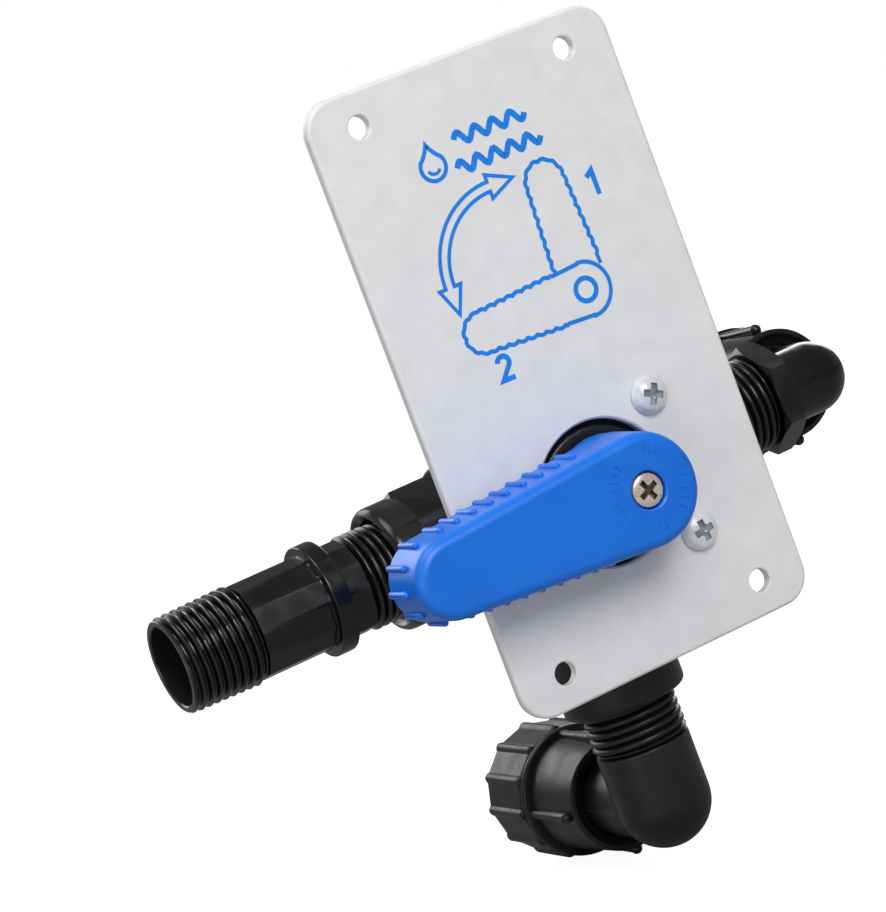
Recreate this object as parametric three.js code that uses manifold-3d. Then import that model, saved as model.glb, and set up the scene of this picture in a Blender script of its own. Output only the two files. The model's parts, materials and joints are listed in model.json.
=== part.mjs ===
// Water source selector for a recreational vehicle: a wall plate with a three-way ball valve behind it,
// a lever in front, a check valve on the left port and swivel elbows on the right and bottom ports.
// Millimetres. X runs to the right, Y back into the wall and Z up. The origin is the centre of the
// plate's back face.
import * as THREE from 'three';
import { mergeGeometries, mergeVertices } from 'three/addons/utils/BufferGeometryUtils.js';
import Module from 'manifold-3d';

const wasm = await Module();
wasm.setup();

const GAP = 0.3;
const OVERLAP = 1;
const CIRCLE = 24;
const SMALL_CIRCLE = 12;
const THREAD_CIRCLE = 20;

// Wall plate. Nothing stands behind it above its clear line.
const PLATE = { width: 70, height: 130, thickness: 2.5, corner: 6.5, clearLine: -6 };
const PLATE_HOLE = { radius: 2.4, insetX: 11, insetZ: 7.3 };
const STEM_HOLE_RADIUS = 15;
const PLATE_SCREW = {
  x: 16.1, z: 14.8, shankRadius: 1.9, pointRadius: 0.9, pointLength: 2, length: 12.5,
  headRadius: 4, headHeight: 2.6, recessDepth: 1.3,
};
const RECESS_ARM = 0.26;

// Valve: its ball centre, and distances measured outwards from that centre
const BALL_CENTRE = new THREE.Vector3(-1.5, 24, -28);
const BALL = { radius: 10, bore: 5.6, slotWidth: 5, slotFloor: 7, slotLength: 22, rows: 14 };
const SEAT = { inner: 5.9, outer: 7.9, near: 8.2, far: 12.2, pocket: 8.2, pocketFloor: 12.5 };
const CHAMBER = { radius: 11.2, right: 10.8 };
const BODY = { radius: 15.4, left: 22.3, right: 20, back: 15.4, neckRadius: 13.8, neckEnd: 25.2 };
const FLANGE = {
  width: 40, height: 41, near: 19.7, far: 23.7, shiftX: 2.5, bossRadius: 4.6, bossNear: 8, drillNear: 12,
};
const PORT = { collar: 13.3, thread: 10.8, waterway: 6.5, threadStart: 24, lip: 1.6 };
const SIDE_PORT_END = 41;
const BOTTOM_PORT_END = 46;
const ADAPTER = {
  stub: 10.9, hexRadius: 14.3, hexStart: 22.6, hexEnd: 34.7, groove: 9.5, grooveNear: 18, grooveFar: 20.6,
};
const PORT_RING = { centre: 10.35, thickness: 1.3 };

// Stem and its seals
const STEM = { radius: 5.1, collar: 6.8, collarFar: 12.5, square: 7, squareStart: 27, end: 38 };
const STEM_BORE = { collarPocket: 7.1, collarFloor: 13, bore: 5.4, glandFloor: 17, glandPocket: 9.8 };
const STEM_GROOVE = { floor: 4, width: 1.5, places: [13.35, 15.25], ring: 1 };
const TANG = { length: 11, height: 4 };
const GLAND = { outer: 9.5, near: 18.6, far: 24.8, slotWidth: 2.4, slotDepth: 1.5 };

// Lever
const LEVER = {
  back: 31, front: 44.5, hub: 12, tip: 8.6, reach: 44.6, skirt: 11.9, skirtBack: 27.2, edge: 1.2,
};
const RIB = { radius: 0.75, start: 0.6, length: 8, pitch: 4, alongSide: 9, overTip: 5 };
const LEVER_SCREW = {
  headRadius: 3.4, headHeight: 1.7, headEdge: 0.4, shank: 1.7, tip: 32,
  recess: 3.8, recessFloor: 42.2, bore: 2,
};

// Pipe thread, nominal half inch
const THREAD_PITCH = 1.814;
const THREAD_DEPTH = 1.1;

// Check valve screwed into the left port
const CHECK = {
  mouth: 89.9, threadEnd: 73, collarFront: 57.2, collarBack: 53.3,
  neckEnd: 48.2, crestsEnd: 37.4, innerEnd: 27,
  barrel: 10.15, neck: 9.95, collar: 11.9, bore: 8.4, crest: 10.3, taper: 0.2,
};
const CHECK_SEAT = { outer: 8.1, hole: 5.8, front: 72.5, back: 70.5 };
const POPPET = {
  disc: 7.4, discFront: 68.5, discBack: 66.6, nose: 5.2, noseEdge: 70.5, noseTip: 71.8, tip: 3.2,
  guide: 1.8, guideEnd: 50,
};
const RETAINER = {
  outer: 8.1, rim: 6.8, hub: 3.6, hole: 2.1, front: 54.5, back: 52, spokes: 3, spokeWidth: 2,
};
const SPRING = { coil: 4.3, wire: 0.45, turns: 5, stepsPerTurn: 12, front: 66.3, back: 54.8 };

// Elbows: the leg runs up from the bend to the port, the outlet runs back from the bend
const BOTTOM_ELBOW = {
  bend: 68.8, leg: 10.2, legEnd: 13, crestsEnd: 27.5, threadTip: 38.5, bore: 6.8, neck: 8.8, nutFront: 19,
};
const RIGHT_ELBOW = {
  bend: 67.5, leg: 7.9, legEnd: 9.2, crestsEnd: 30.8, threadTip: 40, bore: 5.4, neck: 7.9, nutFront: 11.2,
};
const ELBOW_HEX = { radius: 12.4, thickness: 5.3 };
const ELBOW_CREST = 10.35;
const ELBOW_TAPER = 0.2;
const RIGHT_ELBOW_TILT = THREE.MathUtils.degToRad(-3);

// Swivel nut, measured back from its front face
const NUT = {
  length: 38, smoothEnd: 18.5, front: 12.3, waist: 13, grip: 15.3, flute: 1.1, flutes: 12,
  lip: 2.2, lipBore: 9.1, bore: 10.4, rod: 1.25, rodStart: 1.4, rodCentre: 13, rods: 4,
};
const TAIL = { flange: 10, near: 2.6, far: 5.4 };
const WASHER = { outer: 10, inner: 5.6, near: 5.7, edge: 1.5, far: 9.2, nose: 7.4 };

const plastic = (color, roughness) => new THREE.MeshStandardMaterial({ color, roughness, metalness: 0 });
const metal = (color, roughness) => new THREE.MeshStandardMaterial({ color, roughness, metalness: 1 });
const MATERIAL = {
  plate: plastic(0xdedee2, 0.6),
  satinBlack: plastic(0x18181a, 0.45),
  glossBlack: plastic(0x0c0c0e, 0.25),
  blue: plastic(0x2670dc, 0.4),
  seat: plastic(0xf2f0ea, 0.5),
  rubber: plastic(0x1c1c1c, 0.85),
  acetal: plastic(0xe8e6df, 0.5),
  zinc: metal(0xd8d9dc, 0.35),
  nickel: metal(0xb9ab9b, 0.3),
  steel: metal(0xb8babd, 0.3),
};

// ---- geometry helpers ----

function signedVolume(points, triangles) {
  const corner = [0, 1, 2].map(() => new THREE.Vector3());
  let sum = 0;
  for (let i = 0; i < triangles.length; i += 3) {
    corner.forEach((point, k) => point.fromArray(points, 3 * triangles[i + k]));
    sum += corner[0].dot(corner[1].clone().cross(corner[2]));
  }
  return sum / 6;
}

// Turns a closed three.js geometry into a manifold solid, whichever way its faces were wound.
function solid(geometry) {
  const bare = geometry.clone();
  bare.deleteAttribute('normal');
  bare.deleteAttribute('uv');
  const merged = mergeVertices(bare, 1e-4);
  const vertProperties = new Float32Array(merged.attributes.position.array);
  const kept = [];
  const index = merged.index.array;
  for (let i = 0; i < index.length; i += 3) {
    const [a, b, c] = [index[i], index[i + 1], index[i + 2]];
    if (a !== b && b !== c && c !== a) kept.push(a, b, c);
  }
  if (signedVolume(vertProperties, kept) < 0) kept.reverse();
  return new wasm.Manifold(new wasm.Mesh({ numProp: 3, vertProperties, triVerts: new Uint32Array(kept) }));
}

function geometryOf(shape) {
  const mesh = shape.getMesh();
  const geometry = new THREE.BufferGeometry();
  geometry.setAttribute('position', new THREE.BufferAttribute(new Float32Array(mesh.vertProperties), 3));
  geometry.setIndex(Array.from(mesh.triVerts));
  geometry.computeVertexNormals();
  return geometry;
}

function union(shapes) {
  return shapes.reduce((whole, shape) => whole.add(shape));
}

function cut(shape, tools) {
  return tools.reduce((rest, tool) => rest.subtract(tool), shape);
}

// A body of revolution about Z from a closed list of [radius, height] corners.
function turned(profile, segments = CIRCLE) {
  const onAxis = profile[0][0] === 0;
  const outline = onAxis ? profile : [...profile, profile[0]];
  const points = outline.map(([radius, height]) => new THREE.Vector2(radius, height));
  return new THREE.LatheGeometry(points, segments).rotateX(Math.PI / 2);
}

function rod(radius, from, to, segments = CIRCLE) {
  return turned([[0, from], [radius, from], [radius, to], [0, to]], segments);
}

function ring(inner, outer, from, to, segments = CIRCLE) {
  return turned([[inner, from], [outer, from], [outer, to], [inner, to]], segments);
}

function box(width, depth, height, x = 0, y = 0, z = 0) {
  return new THREE.BoxGeometry(width, depth, height).translate(x, y, z);
}

// A prism about Z, with a flat facing +Y.
function hexPrism(radius, from, to) {
  const prism = new THREE.CylinderGeometry(radius, radius, to - from, 6);
  return prism.rotateX(Math.PI / 2).rotateZ(Math.PI / 6).translate(0, 0, (from + to) / 2);
}

// Corners of a run of V-shaped thread crests, from one height to another.
function threadCorners(from, to, crestFrom, crestTo) {
  const count = Math.round(Math.abs(to - from) / THREAD_PITCH);
  const corners = [];
  for (let i = 0; i < count; i += 1) {
    const start = THREE.MathUtils.lerp(from, to, i / count);
    const peak = THREE.MathUtils.lerp(from, to, (i + 0.5) / count);
    const root = THREE.MathUtils.lerp(crestFrom, crestTo, i / count) - THREAD_DEPTH;
    const crest = THREE.MathUtils.lerp(crestFrom, crestTo, (i + 0.5) / count);
    corners.push([root, start], [crest, peak]);
  }
  corners.push([crestTo - THREAD_DEPTH, to]);
  return corners;
}

function part(name, shape, material) {
  const mesh = new THREE.Mesh(shape.isBufferGeometry ? shape : geometryOf(shape), material);
  mesh.name = name;
  return mesh;
}

function group(...children) {
  const holder = new THREE.Group();
  holder.add(...children);
  return holder;
}

// Turns a geometry or a group built about +Z so that it points along one of the valve's four runs.
const RUN = {
  left: new THREE.Euler(0, -Math.PI / 2, 0),
  right: new THREE.Euler(0, Math.PI / 2, 0),
  down: new THREE.Euler(Math.PI, 0, 0),
  front: new THREE.Euler(Math.PI / 2, 0, 0),
};

function aimed(geometry, run) {
  return solid(geometry.applyMatrix4(new THREE.Matrix4().makeRotationFromEuler(RUN[run])));
}

// ---- wall plate and its screws ----

// The plate's screw holes at its corners, the stem's hole, and the holes for the valve's own screws.
function plateHoles() {
  const x = PLATE.width / 2 - PLATE_HOLE.insetX;
  const z = PLATE.height / 2 - PLATE_HOLE.insetZ;
  const holes = [[BALL_CENTRE.x, BALL_CENTRE.z, STEM_HOLE_RADIUS]];
  for (const side of [-1, 1]) {
    const [screwX, screwZ] = [BALL_CENTRE.x + PLATE_SCREW.x, BALL_CENTRE.z + side * PLATE_SCREW.z];
    holes.push([-x, side * z, PLATE_HOLE.radius], [x, side * z, PLATE_HOLE.radius]);
    holes.push([screwX, screwZ, PLATE_SCREW.shankRadius + GAP]);
  }
  return holes;
}

// The plate above its clear line, for side 1, or below it, for side -1.
function plateZone(side) {
  const { width, height, thickness, corner, clearLine } = PLATE;
  const [x, z] = [(side * width) / 2, (side * height) / 2];
  const inset = side * corner;
  const turn = side > 0 ? 0 : Math.PI;
  const outline = new THREE.Shape();
  outline.moveTo(-x, clearLine);
  outline.lineTo(x, clearLine);
  outline.absarc(x - inset, z - inset, corner, turn, turn + Math.PI / 2);
  outline.absarc(-x + inset, z - inset, corner, turn + Math.PI / 2, turn + Math.PI);
  outline.closePath();
  const inZone = plateHoles().filter(([, holeZ]) => side * (holeZ - clearLine) > 0);
  for (const [holeX, holeZ, radius] of inZone) {
    outline.holes.push(new THREE.Path().absarc(holeX, holeZ, radius, 0, 2 * Math.PI));
  }
  return new THREE.ExtrudeGeometry(outline, { depth: thickness, bevelEnabled: false, curveSegments: 8 });
}

// Leaves out the wall that a zone has along the clear line, where it meets the other zone.
function withoutClearWall(zone) {
  const { array } = zone.attributes.position;
  const kept = [];
  for (let i = 0; i < array.length; i += 9) {
    const onLine = [1, 4, 7].every((k) => Math.abs(array[i + k] - PLATE.clearLine) < 1e-4);
    if (!onLine) kept.push(...array.slice(i, i + 9));
  }
  const open = new THREE.BufferGeometry();
  open.setAttribute('position', new THREE.BufferAttribute(new Float32Array(kept), 3));
  return open;
}

function wallPlate() {
  const zones = [1, -1].map((side) => withoutClearWall(plateZone(side)));
  const slab = mergeVertices(mergeGeometries(zones), 1e-4);
  slab.computeVertexNormals();
  return part('wall_plate', slab.rotateX(Math.PI / 2), MATERIAL.plate);
}

// Two crossed slots of a Phillips recess, cut down from a height.
function crossRecess(size, top, depth) {
  const arm = (angle) => solid(box(size, size * RECESS_ARM, 2 * depth, 0, 0, top).rotateZ(angle));
  return [arm(Math.PI / 4), arm(-Math.PI / 4)];
}

function plateScrew(name, side) {
  const { shankRadius, pointRadius, pointLength, length, headRadius, headHeight, recessDepth } = PLATE_SCREW;
  const seat = BALL_CENTRE.y + PLATE.thickness + GAP;
  const tip = seat - length;
  const profile = [
    [0, tip], [pointRadius, tip], [shankRadius, tip + pointLength], [shankRadius, seat],
    [headRadius, seat], [headRadius, seat + headHeight / 3], [headRadius * 0.8, seat + headHeight * 0.8],
    [headRadius / 2, seat + headHeight], [0, seat + headHeight],
  ];
  const recess = crossRecess(headRadius * 1.2, seat + headHeight, recessDepth);
  const shape = cut(solid(turned(profile, SMALL_CIRCLE)), recess);
  const screw = part(name, shape, MATERIAL.zinc);
  screw.position.set(PLATE_SCREW.x, side * PLATE_SCREW.z, 0);
  return screw;
}

// ---- valve body, ports and ball ----

function portTube(run, end) {
  const { collar, lip } = PORT;
  const profile = [[0, 0], [collar, 0], [collar, end - lip], [collar - lip, end], [0, end]];
  return aimed(turned(profile), run);
}

// The passage through a port: a waterway that widens into the thread's bore and a flared lip.
function portBore(end) {
  const { thread, threadStart, waterway, lip } = PORT;
  return turned([[0, 0], [waterway, 0], [waterway, threadStart], [thread, threadStart],
    [thread, end - lip / 2], [thread + lip / 2, end + OVERLAP], [0, end + OVERLAP]]);
}

function valveBody() {
  const boss = (side) => {
    const post = rod(FLANGE.bossRadius, FLANGE.bossNear, FLANGE.far, SMALL_CIRCLE);
    return aimed(post.translate(PLATE_SCREW.x, side * PLATE_SCREW.z, 0), 'front');
  };
  const bossHole = (side) => {
    const drill = rod(PLATE_SCREW.shankRadius + GAP, FLANGE.drillNear, FLANGE.far + OVERLAP, SMALL_CIRCLE);
    return aimed(drill.translate(PLATE_SCREW.x, side * PLATE_SCREW.z, 0), 'front');
  };
  const flangeSlab = box(FLANGE.width, FLANGE.height, FLANGE.far - FLANGE.near, FLANGE.shiftX, 0,
    (FLANGE.near + FLANGE.far) / 2);
  const outside = union([
    aimed(rod(BODY.radius, -BODY.right, BODY.left), 'left'),
    aimed(rod(BODY.radius, -BODY.back, FLANGE.near + OVERLAP), 'front'),
    aimed(rod(BODY.neckRadius, 0, BODY.neckEnd), 'front'),
    aimed(flangeSlab, 'front'),
    portTube('right', SIDE_PORT_END),
    portTube('down', BOTTOM_PORT_END),
    boss(1),
    boss(-1),
  ]);
  const stemBore = turned([
    [0, 0], [STEM_BORE.collarPocket, 0], [STEM_BORE.collarPocket, STEM_BORE.collarFloor],
    [STEM_BORE.bore, STEM_BORE.collarFloor], [STEM_BORE.bore, STEM_BORE.glandFloor],
    [STEM_BORE.glandPocket, STEM_BORE.glandFloor], [STEM_BORE.glandPocket, BODY.neckEnd + OVERLAP],
    [0, BODY.neckEnd + OVERLAP],
  ]);
  const shape = cut(outside, [
    aimed(rod(CHAMBER.radius, -CHAMBER.right, BODY.left + OVERLAP), 'left'),
    aimed(rod(SEAT.pocket, 0, SEAT.pocketFloor), 'right'),
    aimed(rod(SEAT.pocket, 0, SEAT.pocketFloor), 'down'),
    aimed(portBore(SIDE_PORT_END), 'right'),
    aimed(portBore(BOTTOM_PORT_END), 'down'),
    aimed(stemBore, 'front'),
    bossHole(1),
    bossHole(-1),
  ]);
  return part('valve_body', shape, MATERIAL.satinBlack);
}

function leftPortAdapter() {
  const { stub, hexRadius, hexStart, hexEnd, groove, grooveNear, grooveFar } = ADAPTER;
  const { collar, lip } = PORT;
  const end = SIDE_PORT_END;
  const inner = SEAT.far + GAP;
  const stubProfile = [[0, inner], [stub, inner], [stub, grooveNear], [groove, grooveNear],
    [groove, grooveFar], [stub, grooveFar], [stub, hexStart + OVERLAP], [0, hexStart + OVERLAP]];
  const collarProfile = [[0, hexEnd - OVERLAP], [collar, hexEnd - OVERLAP], [collar, end - lip],
    [collar - lip, end], [0, end]];
  const outside = union([
    solid(turned(stubProfile)),
    solid(hexPrism(hexRadius, hexStart, hexEnd).rotateZ(Math.PI / 6)),
    solid(turned(collarProfile)),
  ]);
  return part('left_port_adapter', cut(outside, [solid(portBore(end))]), MATERIAL.glossBlack);
}

function oRing(name, centreRadius, height, thickness, segments = SMALL_CIRCLE) {
  const section = new THREE.EllipseCurve(centreRadius, height, thickness / 2, thickness / 2).getPoints(6);
  const profile = section.slice(0, -1).map((point) => [point.x, point.y]);
  return part(name, turned(profile, segments), MATERIAL.rubber);
}

function ballSeat(name) {
  const { inner, outer, near, far } = SEAT;
  const hollow = solid(new THREE.SphereGeometry(BALL.radius + GAP, CIRCLE, BALL.rows));
  const shape = solid(ring(inner, outer, near, far, THREAD_CIRCLE)).subtract(hollow);
  return part(name, shape, MATERIAL.seat);
}

// The passage turns a quarter circle, so it joins the right port to the bottom port at rest.
function ball() {
  const passage = union([
    aimed(rod(BALL.bore, 0, BALL.radius + OVERLAP, SMALL_CIRCLE), 'right'),
    aimed(rod(BALL.bore, 0, BALL.radius + OVERLAP, SMALL_CIRCLE), 'down'),
    solid(new THREE.SphereGeometry(BALL.bore, SMALL_CIRCLE, 8)),
  ]);
  const slotDepth = BALL.radius + OVERLAP - BALL.slotFloor;
  const slot = box(BALL.slotLength, slotDepth, BALL.slotWidth, 0, -BALL.slotFloor - slotDepth / 2, 0);
  const sphere = solid(new THREE.SphereGeometry(BALL.radius, CIRCLE, BALL.rows));
  return part('ball', cut(sphere, [passage, solid(slot)]), MATERIAL.acetal);
}

// ---- stem, gland and lever ----

function stem() {
  const { radius, collar, collarFar, square, squareStart, end } = STEM;
  const collarNear = BALL.radius + GAP;
  const profile = [[0, collarNear], [collar, collarNear], [collar, collarFar], [radius, collarFar]];
  for (const place of STEM_GROOVE.places) {
    profile.push([radius, place], [STEM_GROOVE.floor, place]);
    profile.push([STEM_GROOVE.floor, place + STEM_GROOVE.width], [radius, place + STEM_GROOVE.width]);
  }
  profile.push([radius, squareStart], [0, squareStart]);
  const tangMiddle = BALL.slotFloor + GAP + TANG.height / 2;
  const tang = box(TANG.length, BALL.slotWidth - 2 * GAP, TANG.height, 0, 0, tangMiddle);
  const head = box(square, square, end - squareStart + OVERLAP, 0, 0, (end + squareStart - OVERLAP) / 2);
  const screwHole = rod(LEVER_SCREW.shank + GAP, LEVER_SCREW.tip - OVERLAP, end + OVERLAP, SMALL_CIRCLE);
  const whole = union([solid(turned(profile, THREAD_CIRCLE)), solid(tang), solid(head)]);
  return part('stem', whole.subtract(solid(screwHole)), MATERIAL.acetal);
}

function packingWasher() {
  const { bore, glandFloor } = STEM_BORE;
  const shape = ring(bore, GLAND.outer, glandFloor + GAP, GLAND.near - GAP, THREAD_CIRCLE);
  return part('packing_washer', shape, MATERIAL.seat);
}

// A threaded retaining ring with four slots for a pin spanner.
function glandNut() {
  const { outer, near, far, slotWidth, slotDepth } = GLAND;
  const slot = (angle) => solid(box(2 * outer + OVERLAP, slotWidth, 2 * slotDepth, 0, 0, far).rotateZ(angle));
  const plain = solid(ring(STEM_BORE.bore, outer, near, far, THREAD_CIRCLE));
  return part('gland_nut', cut(plain, [slot(0), slot(Math.PI / 2)]), MATERIAL.satinBlack);
}

// Lever outline: a large round hub and a small round tip joined by straight sides, pointing to -X.
function leverOutline(inset) {
  const { hub, tip, reach } = LEVER;
  const tangent = Math.acos((hub - tip) / reach);
  const outline = new THREE.Shape();
  outline.absarc(0, 0, hub - inset, -Math.PI + tangent, Math.PI - tangent);
  outline.absarc(-reach, 0, tip - inset, Math.PI - tangent, Math.PI + tangent);
  outline.closePath();
  return outline;
}

function leverSlab(inset, from, to) {
  const slab = new THREE.ExtrudeGeometry(leverOutline(inset),
    { depth: to - from, bevelEnabled: false, curveSegments: 14 });
  return solid(slab.translate(0, 0, from));
}

// Grip ribs stand on the lever's side wall, evenly along both sides and round the tip.
function leverRibs() {
  const { hub, tip, reach, back } = LEVER;
  const tangent = Math.acos((hub - tip) / reach);
  const ribs = [];
  const addRib = (x, y) => {
    const post = rod(RIB.radius, back + RIB.start, back + RIB.start + RIB.length, 8);
    ribs.push(solid(post.translate(x, y, 0)));
  };
  for (const side of [-1, 1]) {
    for (let i = 0; i < RIB.alongSide; i += 1) {
      const fromTip = (i + 0.5) * RIB.pitch;
      const x = -reach + tip * Math.cos(tangent) + fromTip * Math.sin(tangent);
      const y = tip * Math.sin(tangent) + fromTip * Math.cos(tangent);
      addRib(x, side * y);
    }
  }
  for (let i = 0; i < RIB.overTip; i += 1) {
    const angle = THREE.MathUtils.lerp(Math.PI - tangent, Math.PI + tangent, (i + 0.5) / RIB.overTip);
    addRib(-reach + tip * Math.cos(angle), tip * Math.sin(angle));
  }
  return ribs;
}

function lever() {
  const { back, front, edge, skirt, skirtBack } = LEVER;
  const { recess, recessFloor, bore } = LEVER_SCREW;
  const socketTop = STEM.end + GAP;
  const socketBack = skirtBack - OVERLAP;
  const socketSide = STEM.square + 2 * GAP;
  const body = union([
    leverSlab(0, back, front - edge),
    leverSlab(edge, front - edge - OVERLAP, front),
    solid(rod(skirt, skirtBack, back + OVERLAP)),
    ...leverRibs(),
  ]);
  const shape = cut(body, [
    solid(box(socketSide, socketSide, socketTop - socketBack, 0, 0, (socketTop + socketBack) / 2)),
    solid(rod(STEM.radius + 2 * GAP, socketBack, STEM.squareStart + OVERLAP, THREAD_CIRCLE)),
    solid(rod(bore, socketTop - OVERLAP, recessFloor + OVERLAP, SMALL_CIRCLE)),
    solid(rod(recess, recessFloor, front + OVERLAP, THREAD_CIRCLE)),
  ]);
  return part('lever', shape, MATERIAL.blue);
}

function leverScrew() {
  const { headRadius, headHeight, headEdge, recessFloor, shank, tip } = LEVER_SCREW;
  const seat = recessFloor + GAP;
  const top = seat + headHeight;
  const profile = [[0, tip], [shank, tip], [shank, seat], [headRadius, seat], [headRadius, top - headEdge],
    [headRadius - headEdge, top], [0, top]];
  const recess = crossRecess(headRadius * 1.3, top, headHeight / 2);
  const shape = cut(solid(turned(profile, SMALL_CIRCLE)), recess);
  return part('lever_screw', shape, MATERIAL.nickel);
}

// ---- check valve ----

function checkValveBody() {
  const { mouth, threadEnd, collarFront, collarBack, neckEnd, crestsEnd, innerEnd } = CHECK;
  const { barrel, neck, collar, bore, crest, taper } = CHECK;
  const root = crest - THREAD_DEPTH - taper / 2;
  const profile = [
    [0, innerEnd], [root, innerEnd],
    ...threadCorners(crestsEnd, neckEnd, crest - taper / 2, crest + taper / 2), [neck, neckEnd],
    [neck, collarBack], [collar, collarBack], [collar, collarFront], [barrel, collarFront],
    [barrel, threadEnd], ...threadCorners(threadEnd, mouth, crest + taper, crest - taper), [0, mouth],
  ];
  const inside = rod(bore, innerEnd - OVERLAP, mouth + OVERLAP);
  const shape = solid(turned(profile, THREAD_CIRCLE)).subtract(solid(inside));
  return part('check_valve_body', shape, MATERIAL.glossBlack);
}

function checkSeat() {
  const { outer, hole, front, back } = CHECK_SEAT;
  return part('check_seat', ring(hole, outer, back, front, THREAD_CIRCLE), MATERIAL.satinBlack);
}

function checkPoppet() {
  const { disc, discFront, discBack, nose, noseEdge, noseTip, tip, guide, guideEnd } = POPPET;
  const profile = [[0, guideEnd], [guide, guideEnd], [guide, discBack], [disc, discBack], [disc, discFront],
    [nose, discFront], [nose, noseEdge], [tip, noseTip], [0, noseTip]];
  return part('check_poppet', turned(profile, THREAD_CIRCLE), MATERIAL.acetal);
}

function poppetSeal() {
  const { nose, disc, discFront } = POPPET;
  const shape = ring(nose + GAP, disc - GAP / 3, discFront + GAP, CHECK_SEAT.back - GAP, THREAD_CIRCLE);
  return part('poppet_seal', shape, MATERIAL.rubber);
}

class Helix extends THREE.Curve {
  getPoint(t, target = new THREE.Vector3()) {
    const angle = 2 * Math.PI * SPRING.turns * t;
    const margin = SPRING.wire + GAP / 3;
    const height = THREE.MathUtils.lerp(SPRING.back + margin, SPRING.front - margin, t);
    return target.set(SPRING.coil * Math.cos(angle), SPRING.coil * Math.sin(angle), height);
  }
}

function checkSpring() {
  const wire = new THREE.Shape().absarc(0, 0, SPRING.wire, 0, 2 * Math.PI);
  const steps = SPRING.turns * SPRING.stepsPerTurn;
  const coil = new THREE.ExtrudeGeometry(wire, { steps, curveSegments: 2, extrudePath: new Helix() });
  return part('check_spring', solid(coil), MATERIAL.steel);
}

function springRetainer() {
  const { outer, rim, hub, hole, front, back, spokes, spokeWidth } = RETAINER;
  const [from, to] = [(hub + hole) / 2, (rim + outer) / 2];
  const pieces = [
    solid(ring(rim, outer, back, front, THREAD_CIRCLE)),
    solid(ring(hole, hub, back, front, THREAD_CIRCLE)),
  ];
  for (let i = 0; i < spokes; i += 1) {
    const spoke = box(to - from, spokeWidth, front - back, (to + from) / 2, 0, (front + back) / 2);
    pieces.push(solid(spoke.rotateZ((2 * Math.PI * i) / spokes)));
  }
  return part('spring_retainer', union(pieces), MATERIAL.acetal);
}

// ---- swivel elbows ----

function elbow(name, size, hex, material) {
  const { leg, legEnd, crestsEnd, threadTip, bore, neck, nutFront } = size;
  const crestStart = legEnd + (hex ? hex.thickness : 0);
  const root = ELBOW_CREST - THREAD_DEPTH;
  const legProfile = [[0, 0], [leg, 0], [leg, legEnd], [root, legEnd], [root, crestStart],
    ...threadCorners(crestStart, crestsEnd, ELBOW_CREST, ELBOW_CREST - ELBOW_TAPER),
    [root - 2 * ELBOW_TAPER, threadTip], [0, threadTip]];
  const tailFront = nutFront + TAIL.near;
  const tailBack = nutFront + TAIL.far;
  const outletProfile = [[0, 0], [neck, 0], [neck, tailFront], [TAIL.flange, tailFront],
    [TAIL.flange, tailBack], [0, tailBack]];
  const shapes = [
    solid(turned(legProfile, THREAD_CIRCLE)),
    solid(turned(outletProfile, THREAD_CIRCLE).rotateX(-Math.PI / 2)),
    solid(new THREE.SphereGeometry(leg, THREAD_CIRCLE, 12)),
  ];
  if (hex) shapes.push(solid(hexPrism(hex.radius, legEnd, crestStart)));
  const shape = cut(union(shapes), [
    solid(rod(bore, 0, threadTip + OVERLAP, SMALL_CIRCLE)),
    solid(rod(bore, 0, tailBack + OVERLAP, SMALL_CIRCLE).rotateX(-Math.PI / 2)),
    solid(new THREE.SphereGeometry(bore, SMALL_CIRCLE, 8)),
  ]);
  return part(name, shape, material);
}

// Rounded ribs between shallow flutes around the grip.
function gripOutline() {
  const outline = new THREE.Shape();
  const steps = NUT.flutes * 4;
  for (let i = 0; i < steps; i += 1) {
    const angle = (2 * Math.PI * i) / steps;
    const radius = NUT.grip - NUT.flute * Math.abs(Math.sin((NUT.flutes * angle) / 2)) ** 0.6;
    outline[i === 0 ? 'moveTo' : 'lineTo'](radius * Math.cos(angle), radius * Math.sin(angle));
  }
  outline.closePath();
  return outline;
}

// Modelled about +Z with its front face at height 0 and its open end at NUT.length.
function swivelNut(name, material) {
  const { length, smoothEnd, front, waist, lip, lipBore, bore } = NUT;
  const grip = new THREE.ExtrudeGeometry(gripOutline(), { depth: length - smoothEnd, bevelEnabled: false });
  const sleeve = turned([[0, 0], [front, 0], [waist, smoothEnd], [waist, length - OVERLAP],
    [0, length - OVERLAP]]);
  const rods = [];
  for (let i = 0; i < NUT.rods; i += 1) {
    const angle = (2 * Math.PI * i) / NUT.rods;
    const place = [NUT.rodCentre * Math.cos(angle), NUT.rodCentre * Math.sin(angle), 0];
    rods.push(solid(rod(NUT.rod, NUT.rodStart, smoothEnd + OVERLAP, 8).translate(...place)));
  }
  const shape = cut(union([solid(grip.translate(0, 0, smoothEnd)), solid(sleeve), ...rods]), [
    solid(rod(lipBore, -OVERLAP, lip + OVERLAP)),
    solid(turned([[0, lip], [bore, lip], [bore, length - OVERLAP], [bore + OVERLAP, length + OVERLAP],
      [0, length + OVERLAP]])),
  ]);
  return part(name, shape, material);
}

function coneWasher(name) {
  const { outer, inner, near, edge, far, nose } = WASHER;
  const profile = [[inner, near], [outer, near], [outer, near + edge], [nose, far], [inner, far]];
  return part(name, turned(profile, THREAD_CIRCLE), MATERIAL.rubber);
}

// The frame of an elbow has its bend at the origin, its leg along +Z and its outlet along +Y.
function swivelElbow(prefix, size, hex, material) {
  const swivel = group(swivelNut(`${prefix}_swivel_nut`, material), coneWasher(`${prefix}_cone_washer`));
  swivel.rotation.x = -Math.PI / 2;
  swivel.position.y = size.nutFront;
  return group(elbow(`${prefix}_elbow`, size, hex, material), swivel);
}

// ---- assembly ----

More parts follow.
